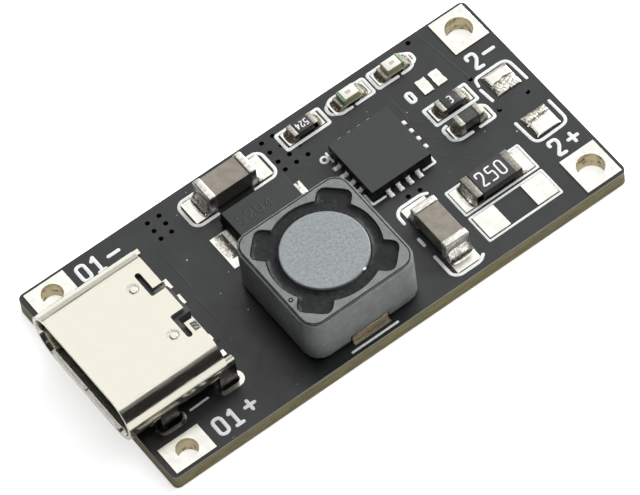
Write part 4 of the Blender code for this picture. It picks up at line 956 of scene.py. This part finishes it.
def solder_bead():
    """One chip lead's solder: a small lump on the lead's end, a neck and a rounder lump on the land."""
    bead = unit_lump("solder_bead")
    for vertex in bead.data.vertices:
        x, y, z = vertex.co
        near = max(0.0, 1 - (x / 0.42) ** 2) ** 0.5
        far = max(0.0, 1 - ((x - 0.66) / 0.36) ** 2) ** 0.5
        round_side = max(0.0, 1 - abs(2 * y) ** 2.5) ** 0.5
        full = max(near, 0.62 * far, 0.10)
        waist = 0.72 + 0.28 * max(0.75 * near, far)
        vertex.co = (x, y * waist, z * full * (0.12 + 0.88 * round_side))
    smooth(bead, 80)
    return bead


def slope_matrix(place, heading, length, width, height):
    """Puts the unit slope at the foot of a part's end, turned to its heading in degrees."""
    turn = Matrix.Rotation(math.radians(heading), 4, "Z")
    return Matrix.Translation(place) @ turn @ Matrix.Diagonal((length, width, height, 1.0))


CHIP_PART_SOLDER = (
    # part, is it turned along Y, reach of the solder, its height as a share of the part, width over the part
    ("input_capacitor", False, 0.46, 0.62, 0.0),
    ("output_capacitor", True, 0.50, 0.55, 0.0),
    ("small_capacitor", False, 0.30, 0.55, 0.04),
    ("sense_resistor", False, 0.44, 0.75, 0.02),
    ("code_resistor", False, 0.30, 0.70, 0.04),
    ("light_resistor", False, 0.32, 0.70, 0.04),
    ("charge_light", False, 0.30, 0.60, 0.04),
    ("full_light", False, 0.30, 0.60, 0.04),
)


def chip_part_slopes(small_parts):
    """Place, heading, length, width and height of each slope of the small or the large chip parts."""
    for part, turned, reach, share, over in CHIP_PART_SOLDER:
        if (reach < 0.4) != small_parts:
            continue
        middle = part_centre(part)
        for ending in ("_end_a", "_end_b"):
            low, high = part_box(part + ending)
            foot = (low + high) / 2
            along, across = (1, 0) if turned else (0, 1)
            ahead = foot[along] > middle[along]
            foot[along] = (high if ahead else low)[along]
            foot.z = LAND_TOP
            width = high[across] - low[across] + over * MM
            yield foot, 90 * along + (0 if ahead else 180), reach * MM, width, (high.z - TOP) * share


def flat_lead_slopes():
    """Slopes round the diode's leads and in front of the inlet's contacts."""
    for node, side in (("diode_lead_left", -1), ("diode_lead_right", 1)):
        low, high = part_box(node)
        foot = Vector((high.x if side > 0 else low.x, (low.y + high.y) / 2, LAND_TOP))
        reach = (0.26 if side > 0 else 0.60) * MM
        yield foot, 0 if side > 0 else 180, reach, (high.y - low.y) * 1.18, 0.16 * MM
    for number in range(1, 7):
        low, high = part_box("usb_contact_%d" % number)
        foot = Vector((high.x, (low.y + high.y) / 2, LAND_TOP))
        if foot.y > 0:
            yield foot, 0, 0.20 * MM, (high.y - low.y) * 1.25, 0.11 * MM


def chip_lead_slopes():
    """Small wet slopes at the sixteen lead ends of the chip."""
    low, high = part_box("charger_chip")
    middle = (low + high) / 2
    pitch = 0.65 * MM
    for heading in (0, 90, 180, 270):
        outward = Matrix.Rotation(math.radians(heading), 3, "Z") @ Vector((1, 0, 0))
        across = outward.cross(Vector((0, 0, 1)))
        for i in range(4):
            foot = middle + outward * (high.x - middle.x) + across * (i - 1.5) * pitch
            yield Vector((foot.x, foot.y, LAND_TOP)), heading, 0.44 * MM, 0.31 * MM, 0.15 * MM


class CHARGER_OT_solder(bpy.types.Operator):
    """Run solder up the ends of every part, each joint a copy of one slope or one bead."""

    bl_idname = "charger.solder"
    bl_label = "Solder joints"

    def execute(self, context):
        slope = solder_slope()
        bead = solder_bead()
        groups = (
            ("chip_part_solder", slope, chip_part_slopes(False), 0.022, "reflowed_solder"),
            ("small_part_solder", slope, chip_part_slopes(True), 0.035, "fluxed_solder"),
            ("lead_solder", slope, flat_lead_slopes(), 0.015, "reflowed_solder"),
            # The chip's beads wear a near-white painted reflection.
            ("chip_lead_solder", bead, chip_lead_slopes(), 0.010, "frosted_bead"),
        )
        for name, master, slopes, waves, look in groups:
            joints = [duplicate(master, name, slope_matrix(*place)) for place in slopes]
            piece = joined(name, joints)
            wavy(piece, 0.20 * MM, waves * MM, name)
            wear(piece, look)
        bpy.data.objects.remove(slope)
        bpy.data.objects.remove(bead)
        return {"FINISHED"}


# Tinned lands

# For each land: where its groove lies across it, and which side of the groove is rough
TINNED_GROOVES = {"tinned_land_minus": (-0.05, -1), "tinned_land_plus": (0.30, 1)}


class CHARGER_OT_tinned_lands(bpy.types.Operator):
    """Pile solder on the two lands at the battery end, with a dragged groove across each."""

    bl_idname = "charger.tinned_lands"
    bl_label = "Tinned lands"

    def execute(self, context):
        for node, (groove, rough_side) in TINNED_GROOVES.items():
            low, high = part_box(node)
            pile = block(node + "_solder", low, high)
            with editing(pile):
                bpy.ops.mesh.subdivide(number_cuts=35)
            middle = (low + high) / 2
            half = (high - low) / 2
            for vertex in pile.data.vertices:
                u = (vertex.co.x - middle.x) / half.x
                v = (vertex.co.y - middle.y) / half.y
                swell = (1 - min(1.0, abs(u)) ** 6) * (1 - min(1.0, abs(v)) ** 6)
                slant = v - groove - 0.10 * u - 0.04 * math.sin(9 * u)
                cut = math.exp(-(slant / 0.07) ** 2) * (0.85 + 0.15 * math.sin(5 * u + 1))
                rough = 0.16 * abs(math.sin(13 * u + 5 * v) * math.sin(11 * v - 4 * u))
                rough = rough if slant * rough_side > 0 else 0.0
                level = max(0.10, 0.25 + 0.68 * swell - 0.85 * cut * swell - rough)
                rise = (vertex.co.z - low.z) / (high.z - low.z)
                vertex.co.z = low.z + (high.z - low.z) * rise * level

            def dragged(face):
                v = (face.center.y - middle.y) / half.y
                u = (face.center.x - middle.x) / half.x
                return 1 if (v - groove - 0.10 * u) * rough_side > -0.05 else 0

            smooth(pile, 70)
            wear(pile, ["levelled_tin", "dragged_solder"], [node], dragged)
        return {"FINISHED"}


# Inlet, with its places and sizes in millimetres

LEG_PLACES = ((-13.15, 4.32), (-9.35, 4.32), (-13.15, -4.32), (-9.35, -4.32))
LEG_SLOT_REACH = Vector((0.67, 0.27))
FRONT_LEGS_END = -12.0
SHELL_HEIGHT = 3.16
SHELL_WALL = 0.30
FLAP = ((-9.70, -2.38), (-9.33, -1.80))
# Where the bright tin strips inside the mouth run across, in millimetres: painted highlights.
MOUTH_HIGHLIGHT_STRIPS = ((-3.1, -0.10), (0.0, 3.1))
DIMPLES = ((-10.73, -1.82), (-10.73, 1.82))


def shell_face(face):
    """Sheared edges show at the slots and the dimples' walls are greyed as painted shade; the legs and lower
    sides are painted dark as painted shade; the front face wears a painted reflection; the rest is drawn
    sheet.
    """
    low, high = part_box("usb_shell")
    # The front face: a painted reflection of the white floor.
    if face.center.x < low.x + 0.05 * MM:
        return 3
    # The lower sides and the legs: painted shade.
    if face.center.z < TOP + 1.15 * MM and abs(face.center.y) > 4.1 * MM and face.normal.z > -0.4:
        return 2
    # The walls of the dimples: painted shade in the greyer sheared finish.
    aside = abs(abs(face.center.y) - 1.82 * MM)
    if aside < 0.40 * MM and high.z - 0.16 * MM < face.center.z < high.z - 0.01 * MM and face.normal.z > 0.3:
        return 1
    in_slot = face.center.z > high.z - 0.31 * MM and abs(face.normal.z) < 0.3
    inside = low.x + 0.35 * MM < face.center.x < high.x - 0.02 * MM
    return 1 if in_slot and inside and abs(face.center.y) < 2.7 * MM else 0


def contact_face(face):
    """Solder has wetted the feet behind the shell, the far feet are painted dark below a slot as painted
    shade under the shell's rear edge, and the rest is gilt.
    """
    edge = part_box("usb_shell")[1].x
    # Painted shade where the far feet run in under the shell's rear edge.
    if face.center.y > 0 and edge - 0.6 * MM < face.center.x < edge:
        return 2
    return 1 if face.center.x > edge - 0.6 * MM else 0


def fill_leg_slots():
    """Solder in the slots that hold the shell's legs, and flux round the two at the front."""
    rings = []
    plugs = []
    for place in LEG_PLACES:
        if place[0] < FRONT_LEGS_END:
            reach = LEG_SLOT_REACH + Vector((0.04, 0.04))
            rings.append((rounded_outline(Vector(place), *reach, reach.y), True))
        reach = LEG_SLOT_REACH - Vector((0.1, 0.01))
        low, high = Vector(place) - reach, Vector(place) + reach
        plugs.append(block("leg_solder", Vector((*low, 0.03)) * MM, Vector((*high, 0.42)) * MM))
    wear(drawn("leg_flux", rings, 0.13 * MM, 0.02 * MM, LAND_TOP), "dried_flux")
    filled = joined("leg_solder", plugs)
    soften(filled, 0.08 * MM, 3, 50)
    wear(filled, "reflowed_solder")


def add_shell_details():
    """A flat patch painted as the shade of the flap bent down in a slot, bright tin strips inside the mouth
    as painted highlights, and the floors of the dimples.
    """
    shell_low, shell_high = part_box("usb_shell")
    front, top = shell_low.x / MM, shell_high.z / MM
    # A flat patch on the sheet's top: painted shade of the flap that is bent down there.
    low, high = FLAP
    flap = block("inlet_flap", Vector((*low, top - 0.02)) * MM, Vector((*high, top)) * MM)
    wear(flap, "bent_flap")
    inner = top - SHELL_HEIGHT + SHELL_WALL
    highlight_strips = []
    # Bright tin strips on the inner floor of the mouth: painted highlights.
    for start, end in MOUTH_HIGHLIGHT_STRIPS:
        low, high = Vector((front + 0.02, start, inner - 0.02)), Vector((front + 0.23, end, inner + 0.065))
        highlight_strips.append(block("inlet_lip", low * MM, high * MM))
        for vertex in highlight_strips[-1].data.vertices:
            if vertex.co.x < (front + 0.1) * MM and vertex.co.z > inner * MM:
                vertex.co.z = (inner + 0.005) * MM
    wear(joined("inlet_lip", highlight_strips), "levelled_tin")
    floors = [
        added("dimple_floor", bpy.ops.mesh.primitive_cylinder_add, vertices=40, radius=0.23 * MM,
              depth=0.09 * MM, location=Vector((*place, top - 0.085)) * MM)
        for place in DIMPLES
    ]
    dimples = joined("dimple_floor", floors)
    soften(dimples, 0.02 * MM, 2, 50)
    wear(dimples, "nickel_sheet")


class CHARGER_OT_inlet(bpy.types.Operator):
    """Dress the inlet: its formed shell, the insulator, the middle plate and the contacts."""

    bl_idname = "charger.inlet"
    bl_label = "Inlet"

    def execute(self, context):
        edge = context.scene.charger_sizes.sheet_edge
        finishes = ["nickel_sheet", "sheared_sheet", "tarnished_nickel", "satin_lip"]
        dressed("usb_shell", "inlet_shell", "nickel_shell", finishes, edge, 3, rule=shell_face)
        fill_leg_slots()
        add_shell_details()
        dressed("usb_housing", "inlet_insulator", "black_moulding", "black_moulding", 0.02 * MM, angle=50)
        dress_node("usb_mid_plate", "nickel_sheet")
        finishes = ["gilt_metal", "levelled_tin", "tarnished_nickel"]
        for number in range(1, 7):
            names = "usb_contact_%d" % number, "inlet_contact_%d" % number
            dressed(*names, "gilt_contact", finishes, 0.018 * MM, rule=contact_face)
        return {"FINISHED"}


# Inductor, with its places and sizes in millimetres

RIM_INSET = 0.165
RIM_RADIUS = 0.83
BUBBLE_PLACE = (-4.80, -4.20)
FLAKE_PLACE = (-0.70, -5.15)
DRUM_FACE_SETBACK = 0.45
GLUE_SAG = 0.13
GLUE_CLING = 0.16


def sink_middle(poured, walls):
    """Lowers poured glue away from the walls that it clings to."""
    for vertex in poured.data.vertices:
        if vertex.normal.z < 0.3:
            continue
        distances = []
        for wall in walls:
            found, near, _, _ = wall.closest_point_on_mesh(vertex.co)
            distances.append((near - vertex.co).length if found else 1.0)
        vertex.co.z -= GLUE_SAG * MM * (1 - math.exp(-min(distances) / (GLUE_CLING * MM)))


def pour_glue(grain, walls):
    """The poured glue: an even mesh, sunk between its walls and gently rippled."""
    glue = copy_of("inductor_glue", "inductor_potting")
    modified(glue, "even_mesh", "REMESH", mode="VOXEL", voxel_size=grain, adaptivity=0.0)
    modified(glue, "settle", "SMOOTH", factor=0.5, iterations=3)
    sink_middle(glue, walls)
    wavy(glue, 0.50 * MM, 0.035 * MM, "poured_waves")
    smooth(glue, 180)
    wear(glue, "poured_glue", ["inductor_glue"])


def add_marks(ring_top):
    """A burst bubble's ring on the ferrite, and a bright flake on the drum's rim."""
    ring = [Vector(BUBBLE_PLACE) + Vector((math.cos(a), math.sin(a))) * 0.11 for a in circle(12)]
    bubble = drawn("inductor_bubble", [(ring, True)], 0.08 * MM, 0.020 * MM, ring_top)
    wear(bubble, "poured_glue")
    low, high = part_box("inductor_drum")
    centre = ((low + high) / 2).xy
    outward = (Vector(FLAKE_PLACE) * MM - centre).normalized()
    place = centre + outward * ((high.x - low.x) / 2 - DRUM_FACE_SETBACK * MM)
    flake = added("drum_flake", bpy.ops.mesh.primitive_ico_sphere_add, subdivisions=2, radius=1.0,
                  location=Vector((*place, high.z - 0.05 * MM)), scale=Vector((0.13, 0.09, 0.05)) * MM)
    wear(flake, "satin_lip")


def clip_face(face):
    """A clip's bent face is tarnished; its top edge and foot are bright."""
    return 1 if abs(face.normal.y) > 0.6 else 0


class CHARGER_OT_inductor(bpy.types.Operator):
    """Dress the power inductor: ring, drum, poured glue, winding, base and clips."""

    bl_idname = "charger.inductor"
    bl_label = "Power inductor"

    def execute(self, context):
        sizes = context.scene.charger_sizes
        edge = sizes.ferrite_edge
        ring = dressed("inductor_shield", "inductor_ring", "ferrite", "pressed_ferrite", edge, 3, 38)
        low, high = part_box("inductor_shield")
        half = (high.x - low.x) / 2 / MM - RIM_INSET
        outline = rounded_outline((low + high) / 2 / MM, half, half, RIM_RADIUS)
        # A dark glue line along the rim's step: partly glue, partly painted shade of the step.
        groove = drawn("inductor_rim_groove", [(outline, True)], 0.075 * MM, 0.006 * MM, high.z)
        wear(groove, "poured_glue")
        names = "inductor_drum", "inductor_core"
        drum = dressed(*names, "ferrite_drum", "ground_ferrite", edge * 0.6, angle=30)
        pour_glue(sizes.glue_grain, [ring, drum])
        add_marks(high.z)
        dress_node("inductor_winding", "enamelled_wire")
        dress_node("inductor_base", "base_plate")
        for end in ("near", "far"):
            names = "inductor_terminal_" + end, "inductor_clip_" + end
            dressed(*names, "gilt_contact", ["gilt_metal", "tarnished_gilt"], 0.02 * MM, rule=clip_face)
        return {"FINISHED"}


# Diode and chip

def top_face(face):
    """The top wears the first finish and the sides the second."""
    return 0 if face.normal.z > 0.5 else 1


class CHARGER_OT_diode(bpy.types.Operator):
    """Dress the diode's moulded body and its two flat leads."""

    bl_idname = "charger.diode"
    bl_label = "Diode"

    def execute(self, context):
        # The diode's sides wear a nearly black painted shade.
        slot, finishes = "diode_moulding", ["diode_moulding", "moulded_side"]
        edge = context.scene.charger_sizes.moulding_edge * 1.6
        dressed("diode_body", "diode_moulding", slot, finishes, edge, angle=30, rule=top_face)
        for end in ("left", "right"):
            dressed("diode_lead_" + end, "diode_tab_" + end, "tin_cap", "frosted_tin", 0.02 * MM)
        strokes = sign("5204", (-3.40, 2.55), 0.60, 0.0, 1.15)
        relief = drawn("diode_digits", strokes, 0.10 * MM, 0.010 * MM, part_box("diode_body")[1].z)
        wear(relief, "diode_moulding")
        return {"FINISHED"}


def chip_face(face):
    """Lead ends stand a little proud of the package's four sides, low down, and are small."""
    low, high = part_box("charger_chip")
    middle = (low + high) / 2
    out = max(abs(face.center.x - middle.x), abs(face.center.y - middle.y))
    proud = out > (high.x - low.x) / 2 - 0.035 * MM
    low_down = face.center.z < low.z + 0.23 * MM
    # Lead ends get a near-white painted reflection.
    if proud and low_down and abs(face.normal.z) < 0.9 and face.area < 0.12 * MM * MM:
        return 1
    # Sides get a nearly black painted shade.
    return 0 if face.normal.z > 0.5 else 2


class CHARGER_OT_chip(bpy.types.Operator):
    """Dress the charging chip: eroded moulding compound, lead ends painted bright as painted reflection, and
    sides painted nearly black as painted shade.
    """

    bl_idname = "charger.chip"
    bl_label = "Charging chip"

    def execute(self, context):
        chip = copy_of("charger_chip", "charging_chip")
        finishes = ["chip_moulding", "frosted_bead", "moulded_side"]
        wear(chip, finishes, ["charger_chip"], chip_face)
        soften(chip, context.scene.charger_sizes.moulding_edge, 2, 50)
        dress_node("chip_heat_pad", "levelled_tin")
        return {"FINISHED"}


# Chip parts

ENDINGS = ("_end_a", "_end_b")


def wrapped_ends(part, edge, name):
    """The two metal ends of a chip part, softened."""
    for ending in ENDINGS:
        dressed(part + ending, part + ending + "_plated", "tin_cap", name, edge)


class CHARGER_OT_capacitors(bpy.types.Operator):
    """Dress the three ceramic capacitors. The large ones have well rounded ends."""

    bl_idname = "charger.capacitors"
    bl_label = "Capacitors"

    def execute(self, context):
        for part in ("input_capacitor", "output_capacitor", "small_capacitor"):
            large = part != "small_capacitor"
            finishes = ["grey_brown_ceramic" if large else "dark_ceramic", "shaded_ceramic"]
            names = part + "_ceramic", part + "_block"
            dressed(*names, "ceramic", finishes, 0.05 * MM, 3, rule=top_face)
            if not large:
                wrapped_ends(part, 0.03 * MM, "dull_tin")
                continue
            for ending in ENDINGS:
                end = block(part + ending + "_plated", *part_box(part + ending))
                soften(end, 0.13 * MM, 5, 40)
                wear(end, "frosted_tin", [part + ending])
        return {"FINISHED"}


RESISTOR_DIGITS = {
    # part: digits, height of a digit, does it read upside down, share of the line width
    "sense_resistor": ("250", 0.92, False, 0.55),
    "code_resistor": ("3", 0.45, False, 0.42),
    "light_resistor": ("524", 0.40, True, 0.34),
}


class CHARGER_OT_resistors(bpy.types.Operator):
    """Dress the three chip resistors, with plain digits on their overcoat."""

    bl_idname = "charger.resistors"
    bl_label = "Resistors"

    def execute(self, context):
        sizes = context.scene.charger_sizes
        for part, (text, height, upside_down, share) in RESISTOR_DIGITS.items():
            chip = copy_of(part + "_chip", part + "_coated")
            wear(chip, ["dark_overcoat", "sawn_side"], [part + "_chip"], top_face)
            soften(chip, 0.012 * MM, 2, 40)
            wrapped_ends(part, 0.03 * MM, "brown_tin" if part == "sense_resistor" else "dull_tin")
            centre = part_centre(part) / MM
            width = (len(text) * GLYPH_ADVANCE - 0.28) * height * 0.8
            way = -1 if upside_down else 1
            corner = (centre.x - way * width / 2, centre.y - way * height / 2)
            strokes = sign(text, corner, height, 180 if upside_down else 0, 0.8)
            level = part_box(part + "_chip")[1].z
            digits = drawn(part + "_digits", strokes, sizes.ink_width * share, sizes.ink_height * 0.4, level)
            wear(digits, "white_print")
        return {"FINISHED"}


# Lights, with the sizes of the die and the green mark in millimetres

LIGHT_MARK_SIDES = {"charge_light": -1, "full_light": 1}
DIE_REACH = Vector((0.15, 0.10, 0.0))
DIE_DEPTH = Vector((0.0, 0.0, 0.03))
MARK_WIDTH = 0.17
MARK_TAPER = 0.055


class CHARGER_OT_lights(bpy.types.Operator):
    """Dress the two indicator lights: base, ends, clear block, die and green mark."""

    bl_idname = "charger.lights"
    bl_label = "Indicator lights"

    def execute(self, context):
        for part, side in LIGHT_MARK_SIDES.items():
            finishes = ["cast_resin", "lens_side"]
            dressed(part + "_lens", part + "_block", "light_lens", finishes, 0.03 * MM, 3, 30, top_face)
            dress_node(part + "_base", "light_base")
            wrapped_ends(part, 0.012 * MM, "dull_tin")
            low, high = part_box(part + "_lens")
            middle = (low + high) / 2
            face = Vector((middle.x, middle.y, high.z + 0.004 * MM))
            die = block(part + "_die", face - (DIE_REACH + DIE_DEPTH) * MM, face + DIE_REACH * MM)
            wear(die, "light_die")
            edge = middle.x + side * (high.x - middle.x) * 1.01
            left, right = sorted((edge, edge - side * MARK_WIDTH * MM))
            near, far = low.y - 0.01 * MM, high.y + 0.01 * MM
            mark = block(part + "_mark", (left, near, low.z), (right, far, high.z))
            for vertex in mark.data.vertices:
                if vertex.co.z > middle.z:
                    vertex.co.y += math.copysign(MARK_TAPER * MM, middle.y - vertex.co.y)
            soften(mark, 0.02 * MM, 2, 30)
            wear(mark, "green_mark")
        return {"FINISHED"}


# Stage

CAMERA_PLACE = Vector((-73.77, -133.27, 236.05)) * MM
CAMERA_FORWARD = Vector((0.2617, 0.4745, -0.8404))
CAMERA_RIGHT = Vector((0.7996, -0.5943, -0.0866))
CAMERA_LENS = 295.0
FLOOR_SIZE = 6.0
WORLD_GREY = 0.03
LAMPS = (
    # name, place, what it faces, width and depth, radiance
    ("overhead_box", (0.30, 0.27, 0.50), (0.30, 0.27, 0.0), (0.66, 1.14), 1.36),
    ("right_box", (0.95, 0.20, 0.50), (0.0, 0.0, 0.0), (0.9, 0.8), 6.0),
    ("lip_card", (-0.124, 0.274, 0.50), (-0.124, 0.274, 0.0), (0.10, 0.20), 1.5),
    ("back_card", (0.15, 1.15, 0.28), (0.15, 0.0, 0.20), (1.2, 0.50), 0.85),
    ("edge_box", (0.15, -0.40, 0.50), (0.15, -0.40, 0.0), (0.9, 0.18), 0.20),
)


def area_lamp(name, place, aim, size, radiance):
    """A soft box of a given brightness: a lamp's power is its radiance times pi times its area."""
    lamp = bpy.data.lights.new(name, "AREA")
    lamp.shape = "RECTANGLE"
    lamp.size, lamp.size_y = size
    lamp.energy = radiance * math.pi * size[0] * size[1]
    holder = bpy.data.objects.new(name, lamp)
    bpy.context.collection.objects.link(holder)
    holder.location = place
    holder.rotation_euler = (Vector(place) - Vector(aim)).to_track_quat("Z", "Y").to_euler()


class CHARGER_OT_stage(bpy.types.Operator):
    """Set the floor, the soft lamps, the world and the camera."""

    bl_idname = "charger.stage"
    bl_label = "Stage"

    def execute(self, context):
        scene = context.scene
        floor = added("floor", bpy.ops.mesh.primitive_plane_add, size=FLOOR_SIZE, location=(0, 0, -0.01 * MM))
        floor.data.materials.append(material("paper_floor"))
        for lamp in LAMPS:
            area_lamp(*lamp)
        world = bpy.data.worlds.new("studio")
        world.use_nodes = True
        background = world.node_tree.nodes["Background"]
        background.inputs["Color"].default_value = (WORLD_GREY, WORLD_GREY, WORLD_GREY, 1.0)
        scene.world = world
        view = bpy.data.cameras.new("camera")
        view.lens = CAMERA_LENS
        view.sensor_width = 36.0
        view.sensor_fit = "HORIZONTAL"
        view.clip_start = 0.005
        view.clip_end = 20.0
        camera = bpy.data.objects.new("camera", view)
        context.collection.objects.link(camera)
        back = -CAMERA_FORWARD.normalized()
        right = (CAMERA_RIGHT - back * CAMERA_RIGHT.dot(back)).normalized()
        up = back.cross(right)
        turn = Matrix((right, up, back)).transposed().to_4x4()
        camera.matrix_world = Matrix.Translation(CAMERA_PLACE) @ turn
        scene.camera = camera
        scene.view_settings.view_transform = "Standard"
        return {"FINISHED"}


# Panel, registration and order of work

STEPS = (
    CHARGER_OT_stage, CHARGER_OT_board, CHARGER_OT_tracks, CHARGER_OT_print, CHARGER_OT_wire_pads,
    CHARGER_OT_tinned_lands, CHARGER_OT_solder, CHARGER_OT_inlet, CHARGER_OT_inductor, CHARGER_OT_diode,
    CHARGER_OT_chip, CHARGER_OT_capacitors, CHARGER_OT_resistors, CHARGER_OT_lights,
)


class CHARGER_PT_panel(bpy.types.Panel):
    """Lists the steps that dress the charger module."""

    bl_idname = "CHARGER_PT_panel"
    bl_label = "Charger Module"
    bl_space_type = "VIEW_3D"
    bl_region_type = "UI"
    bl_category = "Charger"

    def draw(self, context):
        for step in STEPS:
            self.layout.operator(step.bl_idname)
        for group in (context.scene.charger_sizes, context.scene.charger_colours):
            box = self.layout.box()
            for name in group.__annotations__:
                box.prop(group, name)


CLASSES = (CHARGER_PG_sizes, CHARGER_PG_colours, *STEPS, CHARGER_PT_panel)


def register():
    for cls in CLASSES:
        bpy.utils.register_class(cls)
    bpy.types.Scene.charger_sizes = PointerProperty(type=CHARGER_PG_sizes)
    bpy.types.Scene.charger_colours = PointerProperty(type=CHARGER_PG_colours)


def unregister():
    del bpy.types.Scene.charger_colours
    del bpy.types.Scene.charger_sizes
    for cls in reversed(CLASSES):
        bpy.utils.unregister_class(cls)


def main():
    register()
    for step in STEPS:
        area, name = step.bl_idname.split(".")
        getattr(getattr(bpy.ops, area), name)()


if __name__ == "__main__":
    main()
